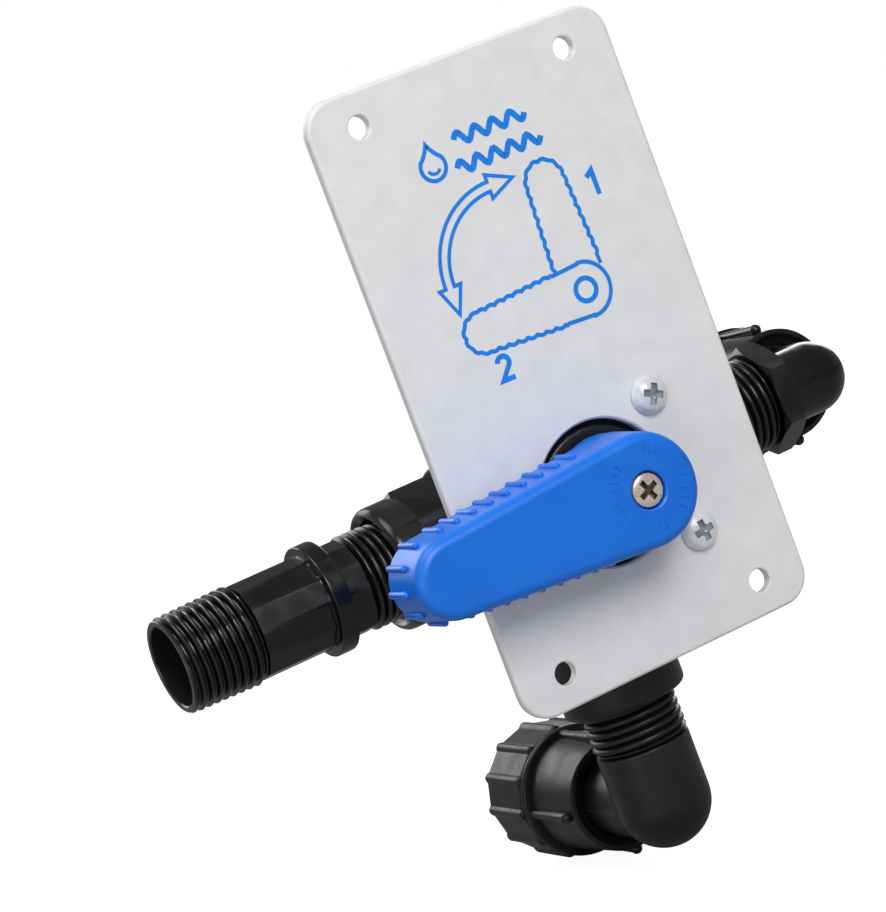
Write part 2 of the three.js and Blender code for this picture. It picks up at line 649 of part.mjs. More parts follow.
function leftRun() {
  const grooveMiddle = (ADAPTER.grooveNear + ADAPTER.grooveFar) / 2;
  const run = group(
    leftPortAdapter(),
    oRing('port_o_ring', PORT_RING.centre, grooveMiddle, PORT_RING.thickness, CIRCLE),
    ballSeat('ball_seat_left'),
    checkValveBody(),
    checkSeat(),
    checkPoppet(),
    poppetSeal(),
    checkSpring(),
    springRetainer(),
  );
  run.rotation.copy(RUN.left);
  return run;
}

function frontRun() {
  const sealRadius = (STEM_GROOVE.floor + STEM_BORE.bore) / 2;
  const [innerGroove, outerGroove] = STEM_GROOVE.places.map((place) => place + STEM_GROOVE.width / 2);
  const run = group(
    stem(),
    oRing('stem_o_ring_inner', sealRadius, innerGroove, STEM_GROOVE.ring),
    oRing('stem_o_ring_outer', sealRadius, outerGroove, STEM_GROOVE.ring),
    packingWasher(),
    glandNut(),
    lever(),
    leverScrew(),
    plateScrew('plate_screw_upper', 1),
    plateScrew('plate_screw_lower', -1),
  );
  run.rotation.copy(RUN.front);
  return run;
}

function rightSeat() {
  const run = group(ballSeat('ball_seat_right'));
  run.rotation.copy(RUN.right);
  return run;
}

function bottomSeat() {
  const run = group(ballSeat('ball_seat_bottom'));
  run.rotation.copy(RUN.down);
  return run;
}

function rightElbow() {
  const run = swivelElbow('right', RIGHT_ELBOW, ELBOW_HEX, MATERIAL.glossBlack);
  run.position.x = RIGHT_ELBOW.bend;
  run.rotation.set(RIGHT_ELBOW_TILT, -Math.PI / 2, 0);
  return run;
}

function bottomElbow() {
  const run = swivelElbow('bottom', BOTTOM_ELBOW, null, MATERIAL.satinBlack);
  run.position.z = -BOTTOM_ELBOW.bend;
  return run;
}

const valve = group(
  valveBody(),
  ball(),
  leftRun(),
  rightSeat(),
  bottomSeat(),
  frontRun(),
  rightElbow(),
  bottomElbow(),
);
valve.position.copy(BALL_CENTRE);

const selector = group(wallPlate(), valve);

export default selector;
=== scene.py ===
import functools
import json
from math import acos, asin, ceil, cos, pi, radians, sin, sqrt, tan
from types import SimpleNamespace as Sizes

import bmesh
import bpy
from mathutils import Matrix, Vector


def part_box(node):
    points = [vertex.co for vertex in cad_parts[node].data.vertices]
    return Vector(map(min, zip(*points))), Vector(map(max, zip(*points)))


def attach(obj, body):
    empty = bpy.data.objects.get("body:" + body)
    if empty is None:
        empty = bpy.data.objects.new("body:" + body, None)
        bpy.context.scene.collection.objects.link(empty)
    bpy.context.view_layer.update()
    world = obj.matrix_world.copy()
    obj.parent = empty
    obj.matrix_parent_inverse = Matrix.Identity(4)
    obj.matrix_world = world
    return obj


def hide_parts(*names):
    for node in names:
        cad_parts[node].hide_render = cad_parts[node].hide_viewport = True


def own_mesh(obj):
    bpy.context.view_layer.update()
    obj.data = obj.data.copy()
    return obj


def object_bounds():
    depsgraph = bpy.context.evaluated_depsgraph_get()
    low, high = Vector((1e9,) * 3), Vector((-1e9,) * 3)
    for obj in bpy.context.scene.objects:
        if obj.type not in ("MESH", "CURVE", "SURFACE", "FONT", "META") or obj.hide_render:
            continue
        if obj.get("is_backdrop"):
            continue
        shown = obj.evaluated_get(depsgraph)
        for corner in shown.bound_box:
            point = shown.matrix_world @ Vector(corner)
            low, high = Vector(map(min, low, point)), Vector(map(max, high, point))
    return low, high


# Water source selector for a recreational vehicle. Lengths are millimetres until a piece is placed,
# and every piece is modelled about its own +Z run before it is turned to face the way that run goes.
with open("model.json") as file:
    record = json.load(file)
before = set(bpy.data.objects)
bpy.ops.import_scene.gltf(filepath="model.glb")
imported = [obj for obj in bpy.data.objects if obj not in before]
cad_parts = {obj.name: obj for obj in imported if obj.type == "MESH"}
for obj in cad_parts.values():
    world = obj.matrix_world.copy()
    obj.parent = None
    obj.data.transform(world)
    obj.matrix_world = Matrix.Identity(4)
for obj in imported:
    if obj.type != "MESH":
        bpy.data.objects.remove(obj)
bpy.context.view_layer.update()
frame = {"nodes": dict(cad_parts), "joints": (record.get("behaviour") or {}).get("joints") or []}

MM = 0.001
TURN = 2 * pi


# ---- camera, at the photograph's viewing angle ----

YAW = radians(23.4)
ELEVATION = radians(7)
ROLL = radians(-20.8)
AIM = Vector((-31.1, 0, -8.2)) * MM
CAMERA_DISTANCE = 644 * MM
LENS = 129.3


def make_camera():
    """Stands back from the point it looks at, to the left and above, and rolled."""
    data = bpy.data.cameras.new("camera")
    data.lens = LENS
    data.clip_start = 0.01
    camera = bpy.data.objects.new("camera", data)
    turn = (Matrix.Rotation(-YAW, 4, "Z") @ Matrix.Rotation(pi / 2 - ELEVATION, 4, "X")
            @ Matrix.Rotation(ROLL, 4, "Z"))
    camera.matrix_world = Matrix.Translation(AIM) @ turn @ Matrix.Translation((0, 0, CAMERA_DISTANCE))
    bpy.context.scene.collection.objects.link(camera)
    bpy.context.scene.camera = camera


make_camera()


# ---- places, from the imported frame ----

JOINTS = {joint["name"]: joint for joint in frame["joints"]}


def joint_point(name):
    return Vector(JOINTS[name]["pos_m"]) / MM


def box_mm(node):
    low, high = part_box(node)
    return low / MM, high / MM


BALL = joint_point("lever_turn")
RIGHT_BEND = joint_point("right_nut_spin")
BOTTOM_BEND = joint_point("bottom_nut_spin")
RIGHT_OUTLET = Vector(JOINTS["right_nut_spin"]["axis"]).normalized()
PLATE_LOW, PLATE_HIGH = box_mm("wall_plate")

# Turns that take a run from +Z to the way it points, and frames with the same turn about the ball
TO_FRONT = Matrix.Rotation(pi / 2, 4, "X")
TO_BACK = Matrix.Rotation(-pi / 2, 4, "X")
TO_LEFT = Matrix.Rotation(-pi / 2, 4, "Y")
TO_RIGHT = Matrix.Rotation(pi / 2, 4, "Y")
DOWN = Matrix.Rotation(pi, 4, "X")
FRONT = Matrix.Translation(BALL) @ TO_FRONT
LEFT = Matrix.Translation(BALL) @ TO_LEFT
# An elbow's frame has its leg along +Z and its outlet along +Y.
BOTTOM_ELBOW_FRAME = Matrix.Translation(BOTTOM_BEND)
OUTLET_TILT = Matrix.Rotation(asin(RIGHT_OUTLET.z), 4, "X")
RIGHT_ELBOW_FRAME = Matrix.Translation(RIGHT_BEND) @ OUTLET_TILT @ TO_LEFT


# ---- mesh tools ----

COLUMNS = 96
MERGE = 1e-4
SHARP = radians(28)
PITCH = 1.814
THREAD_DEPTH = 1.1
# Height of one turn of thread, from root to crest and back, as a share of its depth
THREAD_FORM = (0.0, 0.06, 0.48, 0.9, 1.0, 0.9, 0.48, 0.06)
ROUND_FORM = (0.0, 0.5, 0.82, 0.96, 1.0, 0.96, 0.82, 0.5)
# Turns over which a thread runs out, and over which it runs into a rim
RUN_OUT = 0.5
RIM_RUN_OUT = 0.2
FLAT_REACH = 0.1


def polar(radius, angle):
    return radius * cos(angle), radius * sin(angle)


def arc(centre, radius, start, stop, steps=24):
    """Points round a centre, angles in degrees."""
    turns = [polar(radius, radians(start + (stop - start) * k / steps)) for k in range(steps + 1)]
    return [(centre[0] + x, centre[1] + y) for x, y in turns]


def quarter_turn(steps):
    """Sine, and one minus cosine, at even steps through a quarter turn."""
    angles = [pi / 2 * k / steps for k in range(steps + 1)]
    return [(sin(angle), 1 - cos(angle)) for angle in angles]


def solid(mesh, material=None, name="solid"):
    """An object from a mesh, to keep or to combine with others."""
    piece = bpy.data.objects.new(name, mesh)
    if material:
        mesh.materials.append(material)
    bpy.context.scene.collection.objects.link(piece)
    return piece


def drop(piece):
    mesh = piece.data
    bpy.data.objects.remove(piece)
    if mesh.users == 0:
        bpy.data.meshes.remove(mesh)


def baked(piece):
    """Applies the piece's modifiers."""
    graph = bpy.context.evaluated_depsgraph_get()
    mesh = bpy.data.meshes.new_from_object(piece.evaluated_get(graph), depsgraph=graph)
    piece.modifiers.clear()
    piece.data = mesh


def grid_mesh(rings, closed=False):
    """A solid from loops of points. The last joins the first if closed, or else both are capped."""
    bm = bmesh.new()
    rows = [[bm.verts.new(point) for point in ring] for ring in rings]
    for lower, upper in zip(rows, rows[1:] + rows[:1] if closed else rows[1:]):
        count = len(lower)
        for i in range(count):
            k = (i + 1) % count
            bm.faces.new((lower[i], lower[k], upper[k], upper[i]))
    if not closed:
        bm.faces.new(reversed(rows[0]))
        bm.faces.new(rows[-1])
    return closed_up(bm)


def closed_up(bm):
    """Closes the seams and poles, and turns the faces outwards."""
    bmesh.ops.remove_doubles(bm, verts=bm.verts, dist=MERGE)
    bmesh.ops.dissolve_degenerate(bm, edges=bm.edges, dist=MERGE)
    bmesh.ops.recalc_face_normals(bm, faces=bm.faces)
    return as_mesh(bm)


def as_mesh(bm):
    mesh = bpy.data.meshes.new("shape")
    bm.to_mesh(mesh)
    bm.free()
    return mesh


def bezier(start, control, stop, steps):
    return [start * (1 - t) ** 2 + control * 2 * t * (1 - t) + stop * t ** 2
            for t in (k / steps for k in range(steps + 1))]


def rounded(corners, radius=0.25, steps=4, closed=True):
    """Rounds an outline's corners, but not an open one's ends. A third number is a corner's own radius."""
    count = len(corners)
    outline = []
    for i, corner in enumerate(corners):
        here = Vector(corner[:2])
        own = corner[2] if len(corner) > 2 else radius
        end = not closed and i in (0, count - 1)
        if end or own == 0:
            outline.append(here)
            continue
        before = Vector(corners[i - 1][:2]) - here
        after = Vector(corners[(i + 1) % count][:2]) - here
        half = before.angle(after) / 2
        reach = min(own / tan(half), 0.48 * before.length, 0.48 * after.length)
        outline += bezier(here + before.normalized() * reach, here, here + after.normalized() * reach, steps)
    return [(point.x, point.y) for point in outline]


def revolved(rows, columns=COLUMNS, closed=True):
    """Turns rows about +Z. A row is (radius, height), or a function of the turn from 0 to 1 giving one."""
    bm = bmesh.new()
    lines = []
    for i in range(columns + 1):
        turn = i / columns
        angle = TURN * turn
        line = []
        for row in rows:
            radius, height = row(turn) if callable(row) else row
            line.append(bm.verts.new((*polar(radius, angle), height)))
        lines.append(line)
    count = len(rows)
    for line, following in zip(lines, lines[1:]):
        for j in range(count if closed else count - 1):
            k = (j + 1) % count
            bm.faces.new((line[j], following[j], following[k], line[k]))
    return closed_up(bm)


def turned(corners, columns=COLUMNS, radius=0.25, steps=4):
    """A solid turned about +Z from a rounded outline that starts and ends on the axis."""
    return revolved(rounded(corners, radius, steps, closed=False), columns, closed=False)


def plug(radius, low, high, low_edge, high_edge, columns=COLUMNS):
    """A rod whose ends are rounded over."""
    return turned([(0, low), (radius, low, low_edge), (radius, high, high_edge), (0, high)], columns)


def turned_ring(corners, columns=COLUMNS, radius=0.25):
    """A ring turned about +Z from a rounded section."""
    return revolved(rounded(corners, radius), columns)


def thread_rows(start, end, root, crest_start, crest_end, flat=None, rim=None, form=THREAD_FORM):
    """Rows of a helical thread from one height to another, running out at its start, and at its end
    down to the root or to a rim of its own radius. A flat is a radius and a turn: the thread is cut
    flat there and on the opposite side."""
    steps = len(form)
    end_run = RUN_OUT if rim is None else RIM_RUN_OUT
    way = 1 if end > start else -1
    length = abs(end - start)
    finish = root if rim is None else rim
    rows = []
    for j in range(-steps, ceil(length / PITCH * steps) + 1):

        def row(turn, j=j, share=form[j % steps]):
            along = min(max(PITCH * (j / steps + turn), 0), length)
            crest = crest_start + (crest_end - crest_start) * along / length
            radius = root + (crest - root) * share * min(1, along / (RUN_OUT * PITCH))
            run_out = min(1, (length - along) / (end_run * PITCH))
            radius = finish + (radius - finish) * run_out
            if flat:
                off = (turn + 0.25) % 0.5 - flat[1]
                if abs(off) < FLAT_REACH:
                    radius = min(radius, flat[0] / cos(TURN * off))
            return radius, start + way * along
        rows.append(row)
    return rows


def faceted(sides, radius, height):
    """A row round a barrel with flats, whose corners touch that radius."""
    step = 1 / sides

    def row(turn):
        return radius * cos(pi / sides) / cos(TURN * (turn % step - step / 2)), height
    return row


def prism(outline, low, high):
    return grid_mesh([[(x, y, z) for x, y in outline] for z in (low, high)])


def rod(radius, low, high, columns=COLUMNS):
    return revolved([(0, low), (radius, low), (radius, high), (0, high)], columns, closed=False)


def rounded_rectangle(width, height, corner, inset, steps=8):
    outline = []
    for i, (sx, sy) in enumerate(((1, -1), (1, 1), (-1, 1), (-1, -1))):
        centre = (sx * (width / 2 - corner), sy * (height / 2 - corner))
        outline += arc(centre, corner - inset, 90 * (i - 1), 90 * i, steps)
    return outline


def lofted(outline, rings):
    """A solid through the loops that outline(inset) gives, for rings of an inset and a height."""
    return grid_mesh([[(x, y, z) for x, y in outline(inset)] for inset, z in rings])


def slab(width, height, corner, low, high, low_edge, high_edge, steps=5):
    """A thick rounded rectangle whose two edges are rounded over."""
    rings = [(low_edge * (1 - sine), low + low_edge * rest) for sine, rest in quarter_turn(steps)]
    rings += [(high_edge * rest, high - high_edge * (1 - sine)) for sine, rest in quarter_turn(steps)]
    return lofted(functools.partial(rounded_rectangle, width, height, corner), rings)


def capsule(radius, low, high, ball, columns=20):
    """A rod with a ball end at its low end and a flat high end."""
    rows = [(ball * sine, low + ball * rest) for sine, rest in quarter_turn(8)]
    rows += [(radius, low + 1.5 * ball), (radius, high), (0, high)]
    return revolved(rows, columns, closed=False)


def ball_mesh(radius, rows=40):
    return revolved([(radius * sin(pi * i / rows), -radius * cos(pi * i / rows))
                     for i in range(rows + 1)], closed=False)


def moved(mesh, matrix):
    mesh.transform(matrix)
    return mesh


def joined(meshes):
    """One mesh from meshes that don't touch each other."""
    bm = bmesh.new()
    for mesh in meshes:
        bm.from_mesh(mesh)
        bpy.data.meshes.remove(mesh)
    return as_mesh(bm)


def combine(operation, base, *tools):
    """Combines a piece with others in turn, each one a finished piece or the mesh for one."""
    for tool in tools:
        if isinstance(tool, bpy.types.Mesh):
            tool = solid(tool)
        modifier = base.modifiers.new("combine", "BOOLEAN")
        modifier.operation = operation
        modifier.solver = "MANIFOLD"
        modifier.material_mode = "TRANSFER"
        modifier.object = tool
        baked(base)
        drop(tool)
    return base


union = functools.partial(combine, "UNION")
cut = functools.partial(combine, "DIFFERENCE")
common = functools.partial(combine, "INTERSECT")


def softened(piece, voxel, passes):
    """Rounds every edge and inside corner a little, as on a moulding."""
    remesh = piece.modifiers.new("remesh", "REMESH")
    remesh.mode = "VOXEL"
    remesh.voxel_size = voxel
    smooth = piece.modifiers.new("smooth", "SMOOTH")
    smooth.factor = 0.5
    smooth.iterations = passes
    baked(piece)


def place(piece, name, matrix, slot, *nodes, body="plate_and_valve", sharp=SHARP):
    """Puts a finished piece in the row frame, in metres, riding on its body."""
    piece.name = name
    mesh = piece.data
    mesh.name = name
    mesh.transform(Matrix.Scale(MM, 4) @ matrix)
    mesh.update()
    mesh.shade_smooth()
    mesh.set_sharp_from_angle(angle=sharp)
    weighted = piece.modifiers.new("weighted", "WEIGHTED_NORMAL")
    weighted.keep_sharp = True
    weighted.weight = 100
    baked(piece)
    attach(piece, body)
    if nodes:
        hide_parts(*nodes)


# ---- materials ----

def linear(hex_colour):
    channels = [int(hex_colour[i:i + 2], 16) / 255 for i in (0, 2, 4)]
    return tuple(c / 12.92 if c <= 0.04045 else ((c + 0.055) / 1.055) ** 2.4 for c in channels) + (1,)


COAT_ROUGHNESS = 0.12
SUBSURFACE_SCALE = 2 * MM
# Pointiness over which sharp edges turn paler: painted edge highlights, along with wear.
EDGE_HIGHLIGHT_AND_WEAR_BAND = (0.52, 0.62)


class Surface:
    """A Principled material with its colour, roughness and bump built from nodes."""

    def __init__(self, name, metallic=0.0, coat=0.0, subsurface=0.0):
        self.material = bpy.data.materials.new(name)
        self.material.use_nodes = True
        self.tree = self.material.node_tree
        self.shader = self.tree.nodes["Principled BSDF"]
        values = {"Metallic": metallic, "Coat Weight": coat, "Coat Roughness": COAT_ROUGHNESS,
                  "Subsurface Weight": subsurface, "Subsurface Scale": SUBSURFACE_SCALE}
        for socket, value in values.items():
            self.shader.inputs[socket].default_value = value
        self.place = self.node("ShaderNodeTexCoord").outputs["Object"]
        self.normal = None

    def node(self, kind, **values):
        made = self.tree.nodes.new(kind)
        for key, value in values.items():
            setattr(made, key, value)
        return made

    def link(self, output, socket):
        self.tree.links.new(output, socket)

    def noise(self, size_mm, detail, stretch=None):
        """A noise whose grains are about size_mm across."""
        source = self.place
        if stretch:
            mapping = self.node("ShaderNodeMapping")
            mapping.inputs["Scale"].default_value = stretch
            self.link(source, mapping.inputs["Vector"])
            source = mapping.outputs["Vector"]
        texture = self.node("ShaderNodeTexNoise")
        texture.inputs["Scale"].default_value = 1 / (size_mm * MM)
        texture.inputs["Detail"].default_value = detail
        self.link(source, texture.inputs["Vector"])
        return texture.outputs[0]

    def ramp(self, factor, low, high, start=0.3, stop=0.7):
        """From one colour or value to another as the factor goes from start to stop."""
        node = self.node("ShaderNodeValToRGB")
        for element, position, colour in zip(node.color_ramp.elements, (start, stop), (low, high)):
            element.position = position
            element.color = colour if isinstance(colour, tuple) else (colour, colour, colour, 1)
        self.link(factor, node.inputs["Fac"])
        return node.outputs["Color"]

    def bump(self, height, depth_mm, strength=1.0):
        bump = self.node("ShaderNodeBump")
        bump.inputs["Strength"].default_value = strength
        bump.inputs["Distance"].default_value = depth_mm * MM
        self.link(height, bump.inputs["Height"])
        if self.normal is not None:
            self.link(self.normal, bump.inputs["Normal"])
        self.normal = bump.outputs["Normal"]

    def finish(self, colour, roughness):
        for output, socket in ((colour, "Base Color"), (roughness, "Roughness"), (self.normal, "Normal")):
            self.link(output, self.shader.inputs[socket])
        return self.material

    def worn(self, base, edge, amount):
        """The base colour with a paler one along its sharp edges: a painted edge highlight, and wear."""
        pointed = self.node("ShaderNodeNewGeometry").outputs["Pointiness"]
        edge_highlight_and_wear_mask = self.ramp(pointed, 0.0, amount, *EDGE_HIGHLIGHT_AND_WEAR_BAND)
        mix = self.node("ShaderNodeMix", data_type="RGBA")
        self.link(edge_highlight_and_wear_mask, mix.inputs["Factor"])
        self.link(base, mix.inputs["A"])
        mix.inputs["B"].default_value = edge
        return mix.outputs["Result"]


def moulded(name, dark, light, rough, grain_mm=0.35, depth_mm=0.008, mottle_mm=14, edge=None, edge_highlight_and_wear=0.4,
            **shader):
    """Injection-moulded plastic: fine grain, faint flow marks, and paler edges that are painted edge
    highlights and wear.
    """
    surface = Surface(name, **shader)
    # A given edge colour paints highlights along sharp edges, along with wear.
    colour = surface.ramp(surface.noise(mottle_mm, 4.0), linear(dark), linear(light), 0.35, 0.65)
    if edge:
        colour = surface.worn(colour, linear(edge), edge_highlight_and_wear)
    roughness = surface.ramp(surface.noise(mottle_mm / 4, 5.0), *rough)
    surface.bump(surface.noise(grain_mm, 3.0), depth_mm)
    surface.bump(surface.noise(mottle_mm / 2, 1.0), depth_mm * 4, 0.5)
    return surface.finish(colour, roughness)


def pebbled(name, dark, light, rough):
    """The wall plate's leathery grain, shared by the ink printed on it."""
    surface = Surface(name)
    colour = surface.ramp(surface.noise(5, 4.0), linear(dark), linear(light))
    roughness = surface.ramp(surface.noise(2.2, 4.0), *rough)
    surface.bump(surface.noise(0.9, 2.0), 0.035)
    surface.bump(surface.noise(0.3, 2.0), 0.008)
    return surface.finish(colour, roughness)


def brushed(name, dark, light, rough, stretch, metallic=1.0):
    """Plated or drawn metal. Its streaks are as many times finer along each axis as stretch says."""
    surface = Surface(name, metallic=metallic)
    streaks = surface.noise(0.5, 4.0, stretch)
    colour = surface.ramp(surface.noise(1.6, 3.0), linear(dark), linear(light))
    roughness = surface.ramp(streaks, *rough)
    surface.bump(streaks, 0.006)
    return surface.finish(colour, roughness)


PLATE_WHITE = pebbled("plate_pebbled", "e9e9eb", "f0f0f2", (0.38, 0.52))
PRINT_BLUE = pebbled("print_ink", "0a82ec", "128cf2", (0.34, 0.46))
LEVER_BLUE = moulded("lever_moulded", "0c74e6", "1079ec", (0.30, 0.40), 0.25, 0.004, subsurface=0.12)
# The black plastics' paler edge colours are painted edge highlights, along with wear.
SATIN_BLACK = moulded("satin_moulded", "0d0d0f", "141416", (0.34, 0.46), 0.22, 0.005, edge="3a3a3e")
GLOSS_BLACK = moulded("gloss_moulded", "050506", "0a0a0b", (0.17, 0.28), 0.45, 0.006, edge="4a4a50",
                      edge_highlight_and_wear=0.5)
ACETAL = moulded("acetal_moulded", "dcd9d0", "eae7df", (0.35, 0.5), subsurface=0.1)
SEAT_PTFE = moulded("seat_pressed", "e9e7e1", "f6f4ef", (0.45, 0.6), subsurface=0.1)
RUBBER = moulded("rubber_moulded", "121212", "1c1c1c", (0.6, 0.8), 0.15, 0.01)
ZINC_WHITE = moulded("screw_enamel", "d9dae0", "eceef2", (0.16, 0.3), 0.6, 0.01, mottle_mm=4, coat=0.4)
ZINC_BARE = brushed("screw_recess_zinc", "8d999f", "b9c2c8", (0.3, 0.5), (1, 1, 1), 0.45)
NICKEL = brushed("nickel_plate", "d9ccbf", "efe6da", (0.22, 0.36), (1, 1, 3), 0.5)
# The dark brown of the lever screw's cross recess is painted shade in the recess.
NICKEL_RECESS_SHADE = brushed("nickel_recess_shade", "4a3f35", "7d6c5c", (0.25, 0.45), (1, 1, 1), 0.6)
SPRING_STEEL = brushed("spring_drawn", "8f9194", "c4c6c9", (0.2, 0.35), (8, 1, 1))


# ---- wall plate with its print ----

PLATE_CORNER = 6.5
PLATE_EDGE = 0.9
PLATE_BACK_EDGE = 0.3
PLATE_HOLE = 2.4
PLATE_HOLE_IN = Vector((11, 0, 7.3))
STEM_HOLE = 15
PLATE_SCREW = Vector((16.1, 14.8, 0))
SCREW_HOLE = 2.2
FLARE = 0.25
STEM_FLARE = 0.4


def hole_tool(face, x, y, radius, flare=FLARE):
    """A drill through the plate with a small countersink where it leaves the face."""
    rows = [(0, -1), (radius, -1), (radius, face - flare), (radius + flare + 0.1, face + 0.1),
            (0, face + 0.1)]
    return moved(revolved(rows, 64, closed=False), Matrix.Translation((x, y, 0)))


def wall_plate():
    """Modelled with its face up, in a frame whose origin is the plate's centre on its back face."""
    size = PLATE_HIGH - PLATE_LOW
    plate = solid(slab(size.x, size.z, PLATE_CORNER, 0, size.y, PLATE_BACK_EDGE, PLATE_EDGE), PLATE_WHITE)
    x, z = size.x / 2 - PLATE_HOLE_IN.x, size.z / 2 - PLATE_HOLE_IN.z
    holes = [(sx * x, sz * z, PLATE_HOLE) for sx in (-1, 1) for sz in (-1, 1)]
    holes.append((BALL.x, BALL.z, STEM_HOLE, STEM_FLARE))
    holes += [(BALL.x + PLATE_SCREW.x, BALL.z + sz * PLATE_SCREW.y, SCREW_HOLE) for sz in (-1, 1)]
    cut(plate, *(hole_tool(size.y, *hole) for hole in holes))
    place(plate, "pebbled_plate", TO_FRONT, "plate_plastic", "wall_plate")


# ---- print on the wall plate ----

INK = 0.04
LINE = 0.86
MITRE_LIMIT = 0.45
# The upright lever's left and right sides start this far above the pivot, and middle parts the two.
PRINT = Sizes(
    pivot=(9.86, 11.24), hub=5.4, hub_arc=5.6, ring=2.3,
    left_tip=(-14.7, 11.4), left_radius=3.9, up_tip=(9.7, 34.4), up_radius=4.1, toothed=0.75,
    left_start=5.0, right_start=3.6, middle=4.2,
    drop=(-12.2, 45.2), drop_radius=2.75, drop_tip=49.8, drop_smile=1.4,
    arrow=(-2.4, 22.0), arrow_radius=15.6, arrow_band=2.0, arrow_head=4.9, arrow_length=5.6,
    one=(20.2, 30.5, 5.2), two=(-12.9, 3.2, 4.8),
)
# Each wave: its left and right ends, its height and its number of crests
WAVES = ((-6.0, 10.7, 48.7, 4), (-7.4, 12.3, 43.2, 5))
WAVE_SWING = 1.15
TOOTH = Sizes(height=0.42, pitch=2.2)
# Degrees that the drop's round bottom reaches above its middle, and the hollow of its sides
DROP_SHOULDER = 35
DROP_SAG = 0.0875
# Line widths
BROAD, MEDIUM, NARROW, FINE = 1.3, 1.1, 0.8, 0.7
RING_LINE = 1.05


def stroke(points, width=LINE, closed=False):
    """A thin raised line of ink along points on the plate's face, mitred where it bends."""
    count = len(points)
    points = [Vector(point) for point in points]
    rings = []
    face = PLATE_HIGH.y - PLATE_LOW.y
    for i, here in enumerate(points):
        before = points[i - 1] if closed or i else here
        after = points[(i + 1) % count] if closed or i < count - 1 else here
        into = (here - before).normalized() if before != here else (after - here).normalized()
        out = (after - here).normalized() if after != here else into
        side = (into + out).normalized().orthogonal()
        stretch = 1 / max(MITRE_LIMIT, side.dot(into.orthogonal()))
        offset = side * width / 2 * stretch
        left, right = here + offset, here - offset
        rings.append([(*left, face - INK), (*left, face + INK), (*right, face + INK), (*right, face - INK)])
    return grid_mesh(rings, closed)


def droplet(centre, radius, tip):
    """A drop outline: a round bottom drawn up to a point."""
    x, z = centre
    bottom = arc(centre, radius, 180 - DROP_SHOULDER, 360 + DROP_SHOULDER, 28)
    right, left, top = Vector(bottom[-1]), Vector(bottom[0]), Vector((x, tip))
    sides = []
    for start, stop in ((right, top), (top, left)):
        middle = (start + stop) / 2
        control = Vector((x + 0.75 * (middle.x - x), middle.y - DROP_SAG * (tip - z)))
        sides += bezier(start, control, stop, 8)[1:]
    return bottom + sides[:-1]


def wave(left, right, height, crests, steps=48):
    return [(left + (right - left) * k / steps, height + WAVE_SWING * sin(TURN * crests * k / steps))
            for k in range(steps + 1)]


def turning_arrow(centre, radius, band, head, length):
    """A quarter-circle band with an arrow head at each end."""
    x, z = centre
    outer = arc(centre, radius + band / 2, 180, 90)
    inner = arc(centre, radius - band / 2, 90, 180)
    right_head = [(x, z + radius + head / 2), (x + length, z + radius), (x, z + radius - head / 2)]
    down_head = [(x - radius + head / 2, z), (x - radius, z - length), (x - radius - head / 2, z)]
    return outer + right_head + inner + down_head


def lever_mark(hub, hub_radius, tip, tip_radius, toothed, side_steps=56, tip_steps=20):
    """A lever drawn flat. It ends at the hub, and teeth line its tip and that share of its sides."""
    hub, tip = Vector(hub), Vector(tip)
    along = (hub - tip).normalized()
    aside = along.orthogonal()
    length = (hub - tip).length
    # How far along from the tip to the hub each point lies, and the way that it faces
    points = [(1 - k / side_steps, 0) for k in range(side_steps)]
    points += [(0, pi * k / tip_steps) for k in range(tip_steps + 1)]
    points += [(k / side_steps, pi) for k in range(1, side_steps + 1)]
    outline = []
    for t, angle in points:
        radius = tip_radius + (hub_radius - tip_radius) * t
        run = length * t if t else tip_radius * abs(angle - pi / 2)
        if t < toothed:
            radius += TOOTH.height * abs(sin(pi * run / TOOTH.pitch))
        outward = aside * cos(angle) - along * sin(angle)
        outline.append(tip + along * length * t + outward * radius)
    return outline


def figure_one(x, z, height):
    """The figure 1, from its foot to its flag."""
    return [(x, z - height / 2), (x, z + height / 2 - 0.1), (x - 0.3 * height, z + 0.28 * height)]


def figure_two(x, z, height):
    """The figure 2: a bowl, a slant and a foot."""
    radius = 0.27 * height
    bowl = arc((x, z + height / 2 - radius), radius, 170, -35, 14)
    return bowl + [(x - radius, z - height / 2 + 0.1), (x + 1.15 * radius, z - height / 2 + 0.1)]


def up_mark():
    """The upright lever, left out where the level one covers it."""
    pivot = PRINT.pivot
    outline = lever_mark(pivot, PRINT.hub, PRINT.up_tip, PRINT.up_radius, PRINT.toothed)
    rising = [(x - pivot[0], y - pivot[1], (x, y)) for x, y in outline]
    return [point for aside, above, point in rising
            if above > PRINT.right_start and (above > PRINT.left_start or aside > PRINT.middle)]


def plate_print():
    """A drop, waves, a turning arrow, two lever positions and their numbers."""
    p = PRINT
    pivot = p.pivot
    left_mark = lever_mark(pivot, p.hub, p.left_tip, p.left_radius, p.toothed)
    arrow = turning_arrow(p.arrow, p.arrow_radius, p.arrow_band, p.arrow_head, p.arrow_length)
    meshes = [
        stroke(droplet(p.drop, p.drop_radius, p.drop_tip), closed=True),
        stroke(arc(p.drop, p.drop_smile, 200, 330, 12), FINE),
        *(stroke(wave(*sizes), BROAD) for sizes in WAVES),
        stroke(arrow, NARROW, closed=True),
        stroke(left_mark + arc(pivot, p.hub_arc, -90, 88, 20), closed=True),
        stroke(up_mark()),
        stroke(arc(pivot, p.ring, 0, 360, 40)[:-1], RING_LINE, closed=True),
        stroke(figure_one(*p.one), MEDIUM),
        stroke(figure_two(*p.two), MEDIUM),
    ]
    place(solid(joined(meshes), PRINT_BLUE), "plate_print", TO_FRONT, "lever_blue")


# ---- screws ----

def screw_centre(side):
    return Matrix.Translation((PLATE_SCREW.x, side * PLATE_SCREW.y, 0))


